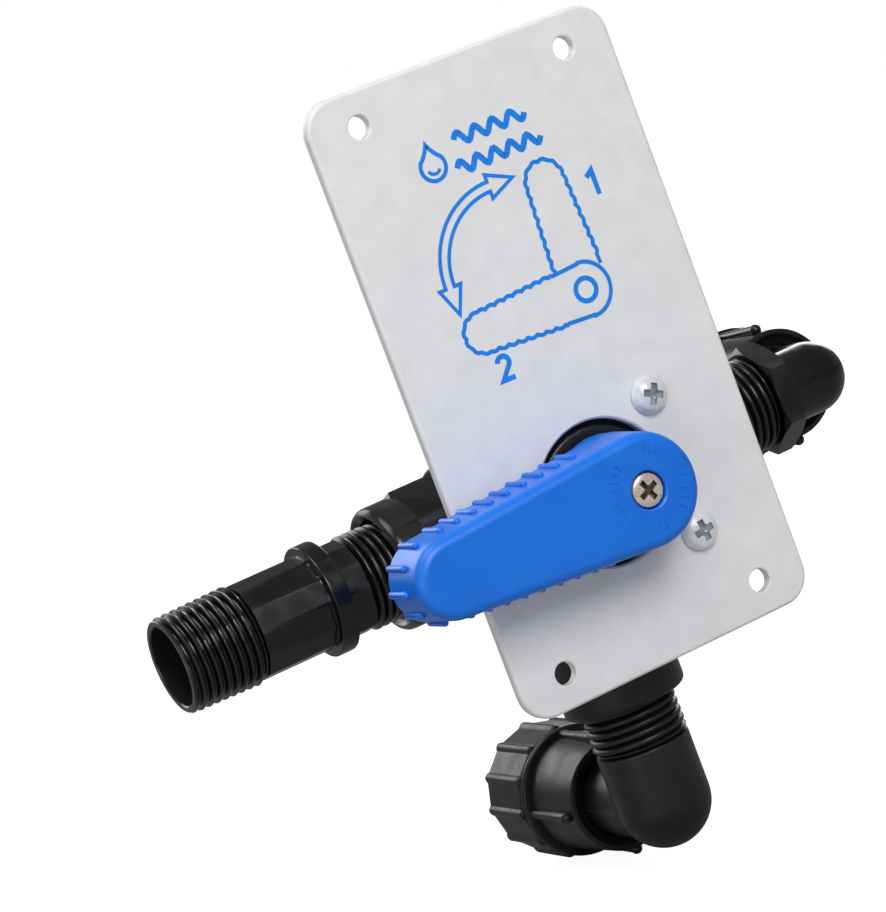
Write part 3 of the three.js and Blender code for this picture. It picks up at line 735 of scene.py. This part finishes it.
def cross_outline(reach, arm):
    """A cross whose arms widen a little outwards and meet in filleted corners."""
    fillet = 0.4 * arm
    quarter = [(reach, -1.05 * arm), (reach, 1.05 * arm), (arm + fillet, arm), (arm, arm + fillet)]
    outline = []
    for c, s in ((1, 0), (0, 1), (-1, 0), (0, -1)):
        outline += [(x * c - y * s, x * s + y * c) for x, y in quarter]
    return outline


def recess_tool(top, depth, reach, arm, angle, metal):
    """A tapered cross, cut into a screw head from its top."""
    levels = ((top + 0.6, 1.06), (top - 0.7 * depth, 0.86), (top - depth, 0.4))
    rings = [[(x * scale, y * scale, z) for x, y in cross_outline(reach, arm)] for z, scale in levels]
    return solid(moved(grid_mesh(rings), Matrix.Rotation(angle, 4, "Z")), metal)


PAN_HEAD = Sizes(
    radius=4, height=2.6, shank=1.9, point=0.9, taper=2,
    recess=dict(depth=1.1, reach=2.35, arm=0.74),
)
CHEESE_HEAD = Sizes(
    radius=3.4, height=1.7, shank=1.7, edge=0.25, crown=2.6,
    recess=dict(depth=1.2, reach=2.3, arm=0.58),
)
LEVER_RECESS_TURN = radians(25)


def screw_ends(name):
    """How far in front of the ball's centre a screw's tip and its head's top lie."""
    low, high = box_mm(name)
    return BALL.y - high.y, BALL.y - low.y


def plate_screw(name, side, angle):
    """A pan head over a plain shank, its paint worn out of the recess."""
    tip, top = screw_ends(name)
    head, shank, seat = PAN_HEAD.radius, PAN_HEAD.shank, top - PAN_HEAD.height
    outline = [(0, tip), (PAN_HEAD.point, tip), (shank, tip + PAN_HEAD.taper), (shank, seat, 0.1),
               (head, seat, 0.2), (head, seat + 0.7, 0.8), (head - 0.6, seat + 1.9, 1.6),
               (head - 2.2, top, 1.5), (0, top)]
    screw = solid(turned(outline, 64, 0.2, 5), ZINC_WHITE)
    cut(screw, recess_tool(top, angle=angle, metal=ZINC_BARE, **PAN_HEAD.recess))
    place(screw, name + "_head", FRONT @ screw_centre(side), "screw_white_zinc", name)


def lever_screw():
    """A cheese head over a plain shank."""
    tip, top = screw_ends("lever_screw")
    head, shank, seat = CHEESE_HEAD.radius, CHEESE_HEAD.shank, top - CHEESE_HEAD.height
    outline = [(0, tip), (shank, tip), (shank, seat, 0.1), (head, seat, 0.15),
               (head, top - CHEESE_HEAD.edge, 0.35), (CHEESE_HEAD.crown, top, 1.0), (0, top)]
    screw = solid(turned(outline, 64, 0.2), NICKEL)
    # The cut recess takes the darker nickel, which is painted shade.
    cut(screw, recess_tool(top, angle=LEVER_RECESS_TURN, metal=NICKEL_RECESS_SHADE, **CHEESE_HEAD.recess))
    place(screw, "lever_screw_head", FRONT, "nickel_steel", "lever_screw", body="selector_lever")


# ---- lever ----

LEVER = Sizes(back=31, front=44.5, hub=12, tip=8.6, reach=44.6, skirt=11.9, skirt_back=27.2)
# Where the straight sides meet the round ends, as an angle from the lever's length
LEVER_TANGENT = acos((LEVER.hub - LEVER.tip) / LEVER.reach)
LEVER_FILLET = 2.3
LEVER_DRAFT = 0.4
LEVER_BACK_EDGE = 0.3
RIB = Sizes(radius=0.72, length=8, pitch=4, sides=9, tip=5)
LEVER_RECESS = 3.8
LEVER_RECESS_FLOOR = 42.2
RECESS_CHAMFER = 0.6
SOCKET = 7.6
SOCKET_TOP = 38.3
STEM_CLEARANCE = 5.7
SCREW_BORE = 2
TICK = Sizes(radius=8.0, length=1.5, half=0.22, depth=0.16)
TICK_ANGLES = (58, 67, 76, 25, 12, -1, -20, -33, -46, -84, -95, 128, 139, 150, 161, 181, 192, 203, 214)


def lever_outline(inset, hub_steps=48, tip_steps=28, side_steps=6):
    """A large hub and a small tip joined by straight sides, with the tip towards -X."""
    hub, tip, tangent = LEVER.hub - inset, LEVER.tip - inset, LEVER_TANGENT
    around_hub = [polar(hub, -pi + tangent + k / hub_steps * (TURN - 2 * tangent))
                  for k in range(hub_steps + 1)]
    around_tip = [polar(tip, pi - tangent + k / tip_steps * 2 * tangent) for k in range(tip_steps + 1)]
    around_tip = [(-LEVER.reach + x, y) for x, y in around_tip]

    def between(start, stop):
        return [tuple(Vector(start).lerp(Vector(stop), k / side_steps)) for k in range(1, side_steps)]
    return (around_hub + between(around_hub[-1], around_tip[0]) + around_tip
            + between(around_tip[-1], around_hub[0]))


def lever_body():
    """The handle's bar, drafted towards its front face and rounded over into it."""
    back, shoulder = LEVER.back, LEVER.front - LEVER_FILLET
    rings = [(LEVER_BACK_EDGE, back), (0.08, back + 0.1), (0, back + 0.35)]
    rings += [(LEVER_DRAFT + LEVER_FILLET * rest, shoulder + LEVER_FILLET * sine)
              for sine, rest in quarter_turn(8)]
    return lofted(lever_outline, rings)


def rib_places():
    """Centres of the grip ribs: along both straight sides from the tip, and round the tip."""
    tip, reach, tangent = LEVER.tip, LEVER.reach, LEVER_TANGENT
    start = Vector(polar(tip, tangent)) - Vector((reach, 0))
    along = Vector((sin(tangent), cos(tangent)))
    places = []
    for side in (-1, 1):
        for i in range(RIB.sides):
            point = start + along * (i + 0.5) * RIB.pitch
            places.append((point.x, side * point.y))
    for i in range(RIB.tip):
        x, y = polar(tip, pi - tangent + 2 * tangent * (i + 0.5) / RIB.tip)
        places.append((-reach + x, y))
    return places


def hub_ticks():
    """Shallow grooves round the screw, in four plain groups."""
    groove = []
    for side, first in ((1, -90), (-1, 90)):
        end = (TICK.radius + side * TICK.length / 2, 0)
        groove += arc(end, TICK.half, first, first + 180, 6)
    return [moved(prism(groove, LEVER.front - TICK.depth, LEVER.front + 0.5),
                  Matrix.Rotation(radians(angle), 4, "Z")) for angle in TICK_ANGLES]


def lever():
    """The handle with its ribs, hub skirt, screw recess and square socket."""
    handle = solid(lever_body(), LEVER_BLUE)
    back, front, skirt_back = LEVER.back, LEVER.front, LEVER.skirt_back
    ribs = [moved(capsule(RIB.radius, -(back + RIB.length), -(back + LEVER_BACK_EDGE), RIB.radius, 16),
                  Matrix.Translation((x, y, 0)) @ DOWN) for x, y in rib_places()]
    union(handle, joined(ribs), plug(LEVER.skirt, skirt_back, back + 1, 0.5, 0))
    hole, bottom = LEVER_RECESS, LEVER_RECESS_FLOOR
    recess = revolved([(0, bottom), (hole, bottom), (hole, front - 0.4), (hole + 0.15, front - 0.15),
                       (hole + RECESS_CHAMFER, front + 0.12), (0, front + 0.12)], 64, closed=False)
    half = SOCKET / 2
    below = skirt_back - 1.2
    square = prism([(half, -half), (half, half), (-half, half), (-half, -half)], below, SOCKET_TOP)
    clearance = rod(STEM_CLEARANCE, below, below + 2, 48)
    bore = rod(SCREW_BORE, SOCKET_TOP - 0.3, bottom + 0.8, 48)
    cut(handle, recess, square, clearance, bore, joined(hub_ticks()))
    place(handle, "selector_handle", FRONT, "lever_blue", "lever", body="selector_lever")


# ---- valve housing and the left run ----

CHAMBER = Sizes(radius=11.2, right=10.8, left=23.3)
BODY = Sizes(radius=15.4, left=22.3, right=20, back=15.4, neck=13.8, neck_end=25.2)
FLANGE = Sizes(width=40, height=41, corner=4, near=19.7, far=23.7, shift=2.5)
BOSS = Sizes(radius=4.6, near=8, drill=2.2, drill_near=12)
SEAT_POCKET = Sizes(radius=8.2, floor=12.5)
STEM_BORE = Sizes(collar=7.1, collar_floor=13, bore=5.4, gland_floor=17, gland=9.8, end=26)
HOUSING_VOXEL = 0.51
HOUSING_SHARP = radians(60)
COLLAR = 13.3
PORT_THREAD = 10.8
WATERWAY = 6.5
THREAD_START = 24
SIDE_PORT_END = 41
BOTTOM_PORT_END = 46


def port_bore(end, start=0, chamfer=1.0, flare=1.2):
    """The waterway from a start to the port's end, where it widens for the thread and a lead-in."""
    return revolved([(0, start), (WATERWAY, start), (WATERWAY, THREAD_START), (PORT_THREAD, THREAD_START),
                     (PORT_THREAD, end - chamfer), (PORT_THREAD + flare, end + 0.2), (0, end + 0.2)],
                    closed=False)


def valve_housing():
    """Built in the ball's own frame, then softened so that its inside corners are filleted."""
    flange = slab(FLANGE.width, FLANGE.height, FLANGE.corner, FLANGE.near, FLANGE.far, 0.5, 0.3)
    centres = [screw_centre(side) for side in (-1, 1)]
    bosses = [moved(plug(BOSS.radius, BOSS.near, FLANGE.far, 1, 0, 48), centre) for centre in centres]
    drills = [moved(rod(BOSS.drill, BOSS.drill_near, FLANGE.far + 1, 32), centre) for centre in centres]
    ports = ((TO_RIGHT, SIDE_PORT_END), (DOWN, BOTTOM_PORT_END))
    housing = solid(moved(plug(BODY.radius, -BODY.right, BODY.left, 3, 0.6), TO_LEFT), SATIN_BLACK)
    added = [(plug(BODY.radius, -BODY.back, FLANGE.near + 1, 3.5, 0), TO_FRONT),
             (rod(BODY.neck, 0, BODY.neck_end), TO_FRONT),
             (moved(flange, Matrix.Translation((FLANGE.shift, 0, 0))), TO_FRONT), (joined(bosses), TO_FRONT)]
    added += [(plug(COLLAR, 0, end, 0, 1.3), way) for way, end in ports]
    union(housing, *(moved(mesh, way) for mesh, way in added))
    b = STEM_BORE
    stem_bore = revolved([(0, 0), (b.collar, 0), (b.collar, b.collar_floor), (b.bore, b.collar_floor),
                          (b.bore, b.gland_floor), (b.gland, b.gland_floor), (b.gland, b.end),
                          (0, b.end)], closed=False)
    removed = [(rod(CHAMBER.radius, -CHAMBER.right, CHAMBER.left), TO_LEFT)]
    removed += [(rod(SEAT_POCKET.radius, 0, SEAT_POCKET.floor), way) for way, end in ports]
    removed += [(port_bore(end), way) for way, end in ports]
    removed += [(stem_bore, TO_FRONT), (joined(drills), TO_FRONT)]
    cut(housing, *(moved(mesh, way) for mesh, way in removed))
    softened(housing, HOUSING_VOXEL, 3)
    place(housing, "valve_housing", Matrix.Translation(BALL), "satin_black", "valve_body",
          sharp=HOUSING_SHARP)


def chamfered_hex(radius, low, high, chamfer):
    """A hexagon whose corners are turned down at both ends, leaving arcs on the flats."""
    flat = radius * cos(pi / 6)
    inner, outer = flat + 0.2, radius + 0.1
    limit = revolved([(0, low), (inner, low), (outer, low + chamfer), (outer, high - chamfer), (inner, high),
                      (0, high)], closed=False)
    hexagon = [polar(radius, TURN * i / 6) for i in range(6)]
    return common(solid(prism(hexagon, low, high)), limit)


ADAPTER = Sizes(stub=10.9, groove=9.5, near=18, far=20.6, hex=14.3, hex_start=22.6, hex_end=34.7)


def port_adapter():
    """The screwed-in left port: a hexagon, and a collar that the check valve threads into."""
    a, low = ADAPTER, SEAT_POCKET.floor
    into_hex = a.hex_start + 1
    spigot = turned([(0, low), (a.stub, low), (a.stub, a.near, 0.1), (a.groove, a.near, 0.1),
                     (a.groove, a.far, 0.1), (a.stub, a.far, 0.1), (a.stub, into_hex, 0), (0, into_hex)])
    adapter = solid(spigot, GLOSS_BLACK)
    union(adapter, chamfered_hex(a.hex, a.hex_start, a.hex_end, 1.2),
          plug(COLLAR, a.hex_end - 1, SIDE_PORT_END, 0, 1.8))
    cut(adapter, port_bore(SIDE_PORT_END, start=10, chamfer=1.1, flare=1.3))
    place(adapter, "port_adapter", LEFT, "gloss_black", "left_port_adapter")


CHECK = Sizes(
    mouth=89.9, thread_end=73, collar_front=57.2, collar_back=53.3, neck_end=48.2,
    crests_end=37.4, inner_end=27, barrel=10.15, neck=9.95, collar=11.9, bore=8.4,
    crest=10.3, taper=0.1, rim=9.8, sides=12,
)
# The thread's two flats: their radius, and their turn
NIPPLE_FLAT = (10.25, 15 / 360)
NIPPLE_SHARP = radians(24)


def check_valve_body():
    """A nipple with a 12-sided barrel, a collar, and a thread at each end."""
    c = CHECK
    crest, taper, rim = c.crest, c.taper, c.rim
    root = crest - THREAD_DEPTH
    flats = functools.partial(faceted, c.sides)
    rows = [(c.bore, c.inner_end), (root - 0.3, c.inner_end), (root, c.inner_end + 0.3)]
    rows += thread_rows(c.crests_end, c.neck_end, root, crest - taper, crest + taper, form=ROUND_FORM)
    rows += [flats(c.neck, z) for z in (c.neck_end + 0.02, c.collar_back - 0.3)]
    rows += rounded([(c.neck, c.collar_back, 0), (c.collar, c.collar_back, 0.45),
                     (c.collar, c.collar_front, 0.45), (c.barrel, c.collar_front, 0)], closed=False)
    rows += [flats(c.barrel, z) for z in (c.collar_front + 0.3, c.thread_end - 0.1)]
    rows += thread_rows(c.thread_end, c.mouth - 0.45, root + 0.1, crest + 0.3, crest - taper,
                        flat=NIPPLE_FLAT, rim=rim)
    rows += [(rim, c.mouth - 0.2), (rim - 0.2, c.mouth), (c.bore + 0.25, c.mouth),
             (c.bore, c.mouth - 0.3)]
    nipple = solid(revolved(rows), GLOSS_BLACK)
    place(nipple, "check_nipple", LEFT, "gloss_black", "check_valve_body", sharp=NIPPLE_SHARP)


CHECK_SEAT = Sizes(inner=5.8, outer=8.1, front=72.5, back=70.5)
POPPET = Sizes(disc=7.4, front=68.5, back=66.6, nose=5.2, nose_edge=70.5, nose_tip=71.8, tip=3.2,
               guide=1.8, guide_end=50)
POPPET_SEAL = Sizes(inner=5.5, outer=7.3, back=68.8, front=70.2)
SPRING = Sizes(coil=4.3, wire=0.45, turns=5, inset=0.5)


def check_seat():
    """The ring that the poppet's seal shuts against."""
    s = CHECK_SEAT
    ring = turned_ring([(s.inner, s.back, 0.2), (s.outer, s.back, 0.1), (s.outer, s.front, 0.1),
                        (s.inner, s.front, 0.5)], 64)
    place(solid(ring, SATIN_BLACK), "seat_ring", LEFT, "satin_black", "check_seat")


def check_poppet():
    """The disc with its guide and nose, and the seal round the nose."""
    p, s = POPPET, POPPET_SEAL
    disc = turned([(0, p.guide_end), (p.guide, p.guide_end), (p.guide, p.back, 0.3), (p.disc, p.back, 0.3),
                   (p.disc, p.front, 0.3), (p.nose, p.front, 0.2), (p.nose, p.nose_edge, 0.6),
                   (p.tip, p.nose_tip, 0.5), (0, p.nose_tip)], 64)
    place(solid(disc, ACETAL), "poppet_disc", LEFT, "acetal", "check_poppet", body="check_poppet")
    seal = turned_ring([(s.inner, s.back), (s.outer, s.back), (s.outer, s.front), (s.inner, s.front)],
                       64, 0.3)
    place(solid(seal, RUBBER), "poppet_seal_ring", LEFT, "seal_rubber", "poppet_seal", body="check_poppet")


def check_spring():
    """The coil behind the poppet, which the poppet squashes as it slides. The coil is built at one length,
    with a mesh of its own.
    """
    low, high = box_mm("check_spring")
    near, far = BALL.x - high.x + SPRING.inset, BALL.x - low.x - SPRING.inset
    coil = solid(coil_mesh(SPRING.coil, SPRING.wire, SPRING.turns, near, far), SPRING_STEEL)
    place(coil, "spring_coil", LEFT, "spring_steel", "check_spring")
    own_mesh(coil)


def coil_mesh(radius, wire, turns, low, high, steps=32, sides=10):
    """A round wire wound about +Z."""
    rings = []
    total = turns * steps
    for i in range(total + 1):
        angle = TURN * i / steps
        out = Vector((cos(angle), sin(angle), 0))
        centre = out * radius + Vector((0, 0, low + (high - low) * i / total))
        rings.append([centre + out * wire * cos(TURN * k / sides)
                      + Vector((0, 0, wire * sin(TURN * k / sides))) for k in range(sides)])
    return grid_mesh(rings)


# ---- swivel elbows ----

ELBOWS = {
    "bottom": Sizes(
        frame=BOTTOM_ELBOW_FRAME, slot="satin_black", surface=SATIN_BLACK, hex=0,
        leg=10.2, leg_end=13, crests=27.5, tip=38.5, bore=6.8, neck=8.8, nut=19,
    ),
    "right": Sizes(
        frame=RIGHT_ELBOW_FRAME, slot="gloss_black", surface=GLOSS_BLACK, hex=5.3,
        leg=7.9, leg_end=9.2, crests=30.8, tip=40, bore=5.4, neck=7.9, nut=11.2,
    ),
}
ELBOW_CREST = 10.35
ELBOW_TAPER = 0.2
ELBOW_HEX = Sizes(radius=12.4, chamfer=0.9)
TAIL = Sizes(flange=10, near=2.6, far=5.4)
NUT = Sizes(
    length=38, smooth=18.5, front=12.3, waist=13, lip=2.2, lip_bore=9.1, dish=1.3,
    bore=10.4, thread_end=12, rod=1.1, ball=1.3, rod_start=1.4, rod_centre=13, rods=4,
    columns=216,
)
CONE = Sizes(inner=5.6, outer=10, near=5.7, edge=7.2, nose=7.4, far=9.2)
GRIP = Sizes(ribs=12, top=15.3, rib=1.35, panel=14.3, ring=13.75, ring_thickness=0.95)


def elbow(side, size):
    """A leg with its thread, a ball at the bend, and an outlet with the flange that the nut turns on."""
    leg, leg_end, tip, bore = size.leg, size.leg_end, size.tip, size.bore
    root = ELBOW_CREST - THREAD_DEPTH
    start = leg_end + size.hex
    rows = [(0, 0), (leg, 0), (leg, leg_end - 0.5), (leg - 0.15, leg_end - 0.1),
            (min(leg - 0.5, root), leg_end), (root, start)]
    rows += thread_rows(start + 0.01, size.crests, root, ELBOW_CREST, ELBOW_CREST - ELBOW_TAPER,
                        form=ROUND_FORM)
    rows += [(root - 0.2, tip - 0.3), (root - 0.5, tip), (0, tip)]
    bend = solid(revolved(rows, closed=False), size.surface)
    neck, flange = size.neck, TAIL.flange
    near, far = size.nut + TAIL.near, size.nut + TAIL.far
    outlet = turned([(0, 0), (neck, 0, 0), (neck, near, 0.4), (flange, near), (flange, far), (0, far)])
    union(bend, ball_mesh(leg), moved(outlet, TO_BACK))
    if size.hex:
        union(bend, chamfered_hex(ELBOW_HEX.radius, leg_end, start, ELBOW_HEX.chamfer))
    cut(bend, rod(bore, 0, tip + 1), moved(rod(bore, 0, far + 1.6), TO_BACK), ball_mesh(bore))
    place(bend, side + "_bend", size.frame, size.slot, side + "_elbow")


def grip_row(inset, height):
    """A row round flat panels, with a rounded rib on each corner between them."""
    def row(turn):
        off = abs((turn * GRIP.ribs + 0.5) % 1 - 0.5) / GRIP.ribs * TURN
        panel = GRIP.panel / cos(pi / GRIP.ribs - off)
        aside = off * GRIP.top
        rib = GRIP.top - GRIP.rib + sqrt(max(GRIP.rib ** 2 - aside ** 2, 0))
        return max(panel, rib) - inset, height
    return row


def nut_rows():
    """From the front face's dished lip, over the sleeve, the ring and the ribbed grip, and back inside."""
    n, length, smooth = NUT, NUT.length, NUT.smooth
    front, bore, crest = n.front, n.bore, n.bore - 0.8
    ring, thickness = GRIP.ring, GRIP.ring_thickness
    rows = [(n.lip_bore, n.lip), (n.lip_bore, n.dish), (front - 1.4, 0.15), (front - 1.2, 0)]
    rows += [(front - 0.5, 0), (front - 0.15, 0.12), (front, 0.5), (n.waist, smooth - 0.3)]
    steps = 8
    for k in range(steps + 1):
        angle = pi * (0.12 + 0.76 * k / steps)
        rows.append((ring + thickness * sin(angle), smooth + 0.7 - thickness * cos(angle)))
    rows += [grip_row(inset, smooth + 1.75 + rise) for inset, rise in
             ((1.0, 0), (0.5, 0.15), (0.2, 0.4), (0.05, 0.8), (0, 1.3))]
    rows += [grip_row(inset, length - fall) for inset, fall in
             ((0, 1.4), (0.15, 0.75), (0.5, 0.25), (1.2, 0))]
    rows += [(bore + 1, length), (bore, length - 1)]
    rows += thread_rows(length - 2, n.thread_end, bore - 0.02, crest, crest)
    rows += [(bore, n.thread_end - 1), (bore, n.lip)]
    return rows


def swivel_nut(side, size):
    """The nut, with its front face at height 0 and rods along its smooth sleeve, and its cone washer."""
    nut = solid(revolved(nut_rows(), NUT.columns), size.surface)
    rods = [moved(capsule(NUT.rod, NUT.rod_start, NUT.smooth + 1, NUT.ball),
                  Matrix.Translation((*polar(NUT.rod_centre, TURN * i / NUT.rods), 0)))
            for i in range(NUT.rods)]
    union(nut, joined(rods))
    face = size.frame @ TO_BACK @ Matrix.Translation((0, 0, size.nut))
    place(nut, side + "_nut_shell", face, size.slot, side + "_swivel_nut", body=side + "_nut")
    c = CONE
    cone = turned_ring([(c.inner, c.near), (c.outer, c.near), (c.outer, c.edge),
                        (c.nose, c.far), (c.inner, c.far)], 64, 0.4)
    washer = solid(cone, RUBBER)
    place(washer, side + "_cone", face, "seal_rubber", side + "_cone_washer", body=side + "_nut")


GLAND = Sizes(inner=5.4, outer=9.5, near=18.6, far=24.8, slot=1.2, slot_depth=1.5)


def gland_nut():
    """The ring that holds the stem in, with four slots for a pin spanner."""
    g = GLAND
    ring = turned_ring([(g.inner, g.near), (g.outer, g.near), (g.outer, g.far, 0.5), (g.inner, g.far, 0.5)],
                       radius=0.2)
    gland = solid(ring, SATIN_BLACK)
    reach, half = g.outer + 1.5, g.slot
    for turn in (0, pi / 2):
        slot = prism([(-reach, -half), (reach, -half), (reach, half), (-reach, half)],
                     g.far - g.slot_depth, g.far + 1.2)
        cut(gland, moved(slot, Matrix.Rotation(turn, 4, "Z")))
    place(gland, "gland_ring", FRONT, "satin_black", "gland_nut")


# ---- carried-over CAD nodes ----

CARRIED = {
    "stem": ACETAL, "ball": ACETAL, "spring_retainer": ACETAL,
    "ball_seat_left": SEAT_PTFE, "ball_seat_right": SEAT_PTFE, "ball_seat_bottom": SEAT_PTFE,
    "packing_washer": SEAT_PTFE,
    "port_o_ring": RUBBER, "stem_o_ring_inner": RUBBER, "stem_o_ring_outer": RUBBER,
}


def dress_carried():
    for name, material in CARRIED.items():
        node = frame["nodes"][name]
        node.data.materials.clear()
        node.data.materials.append(material)
        node.data.shade_smooth()
        node.data.set_sharp_from_angle(angle=SHARP)


# ---- stage ----

FLOOR_REACH = 6.0
FLOOR_GREY = 0.3
FLOOR_GLOW = 0.94
WORLD_LEVEL = 0.22
# Each light's place in metres, its power in watts and its width in metres
LIGHTS = {
    "key": ((-0.05, -0.8, 0.5), 5, 0.45),
    "fill": ((-0.9, -0.6, 0.0), 2, 0.6),
    "top": ((-0.3, -0.1, 1.0), 4, 0.6),
    "rim": ((0.55, 0.6, 0.25), 2, 0.4),
    "back": ((-0.2, 0.9, 0.45), 3, 0.6),
}


def soft_light(name, location, power, width):
    """A square area light turned towards the point that the camera looks at."""
    data = bpy.data.lights.new(name, "AREA")
    data.energy = power
    data.size = width
    light = bpy.data.objects.new(name, data)
    light.location = location
    light.rotation_mode = "QUATERNION"
    light.rotation_quaternion = (AIM - Vector(location)).to_track_quat("-Z", "Y")
    bpy.context.scene.collection.objects.link(light)


def camera_or_other(tree, for_camera, otherwise):
    """A value that the camera sees, and another one for reflected and bounced light."""
    seen = tree.nodes.new("ShaderNodeLightPath").outputs["Is Camera Ray"]
    level = tree.nodes.new("ShaderNodeMapRange")
    level.inputs["To Min"].default_value = otherwise
    level.inputs["To Max"].default_value = for_camera
    tree.links.new(seen, level.inputs["Value"])
    return level.outputs["Result"]


def floor():
    """Plain paper under the object. It looks white to the camera and throws little light on the object."""
    paper = bpy.data.materials.new("floor_paper")
    paper.use_nodes = True
    shader = paper.node_tree.nodes["Principled BSDF"]
    shader.inputs["Base Color"].default_value = (FLOOR_GREY, FLOOR_GREY, FLOOR_GREY, 1)
    shader.inputs["Roughness"].default_value = 0.9
    shader.inputs["Emission Color"].default_value = (1, 1, 1, 1)
    glow = camera_or_other(paper.node_tree, FLOOR_GLOW, 0.0)
    paper.node_tree.links.new(glow, shader.inputs["Emission Strength"])
    low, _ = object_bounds()
    corners = [(x * FLOOR_REACH, y * FLOOR_REACH, low.z) for x, y in ((-1, -1), (1, -1), (1, 1), (-1, 1))]
    mesh = bpy.data.meshes.new("floor")
    mesh.from_pydata(corners, [], [(0, 1, 2, 3)])
    solid(mesh, paper, "floor")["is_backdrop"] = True


def studio():
    floor()
    world = bpy.data.worlds.new("studio")
    world.use_nodes = True
    background = world.node_tree.nodes["Background"]
    background.inputs["Color"].default_value = (1, 1, 1, 1)
    level = camera_or_other(world.node_tree, 1.0, WORLD_LEVEL)
    world.node_tree.links.new(level, background.inputs["Strength"])
    scene = bpy.context.scene
    scene.world = world
    scene.view_settings.view_transform = "Standard"
    for name, (location, power, width) in LIGHTS.items():
        soft_light(name, location, power, width)


wall_plate()
plate_print()
plate_screw("plate_screw_upper", 1, radians(-25))
plate_screw("plate_screw_lower", -1, radians(8))
lever_screw()
lever()
valve_housing()
gland_nut()
port_adapter()
check_valve_body()
check_seat()
check_poppet()
check_spring()
for side_name, side_size in ELBOWS.items():
    elbow(side_name, side_size)
    swivel_nut(side_name, side_size)
dress_carried()
studio()
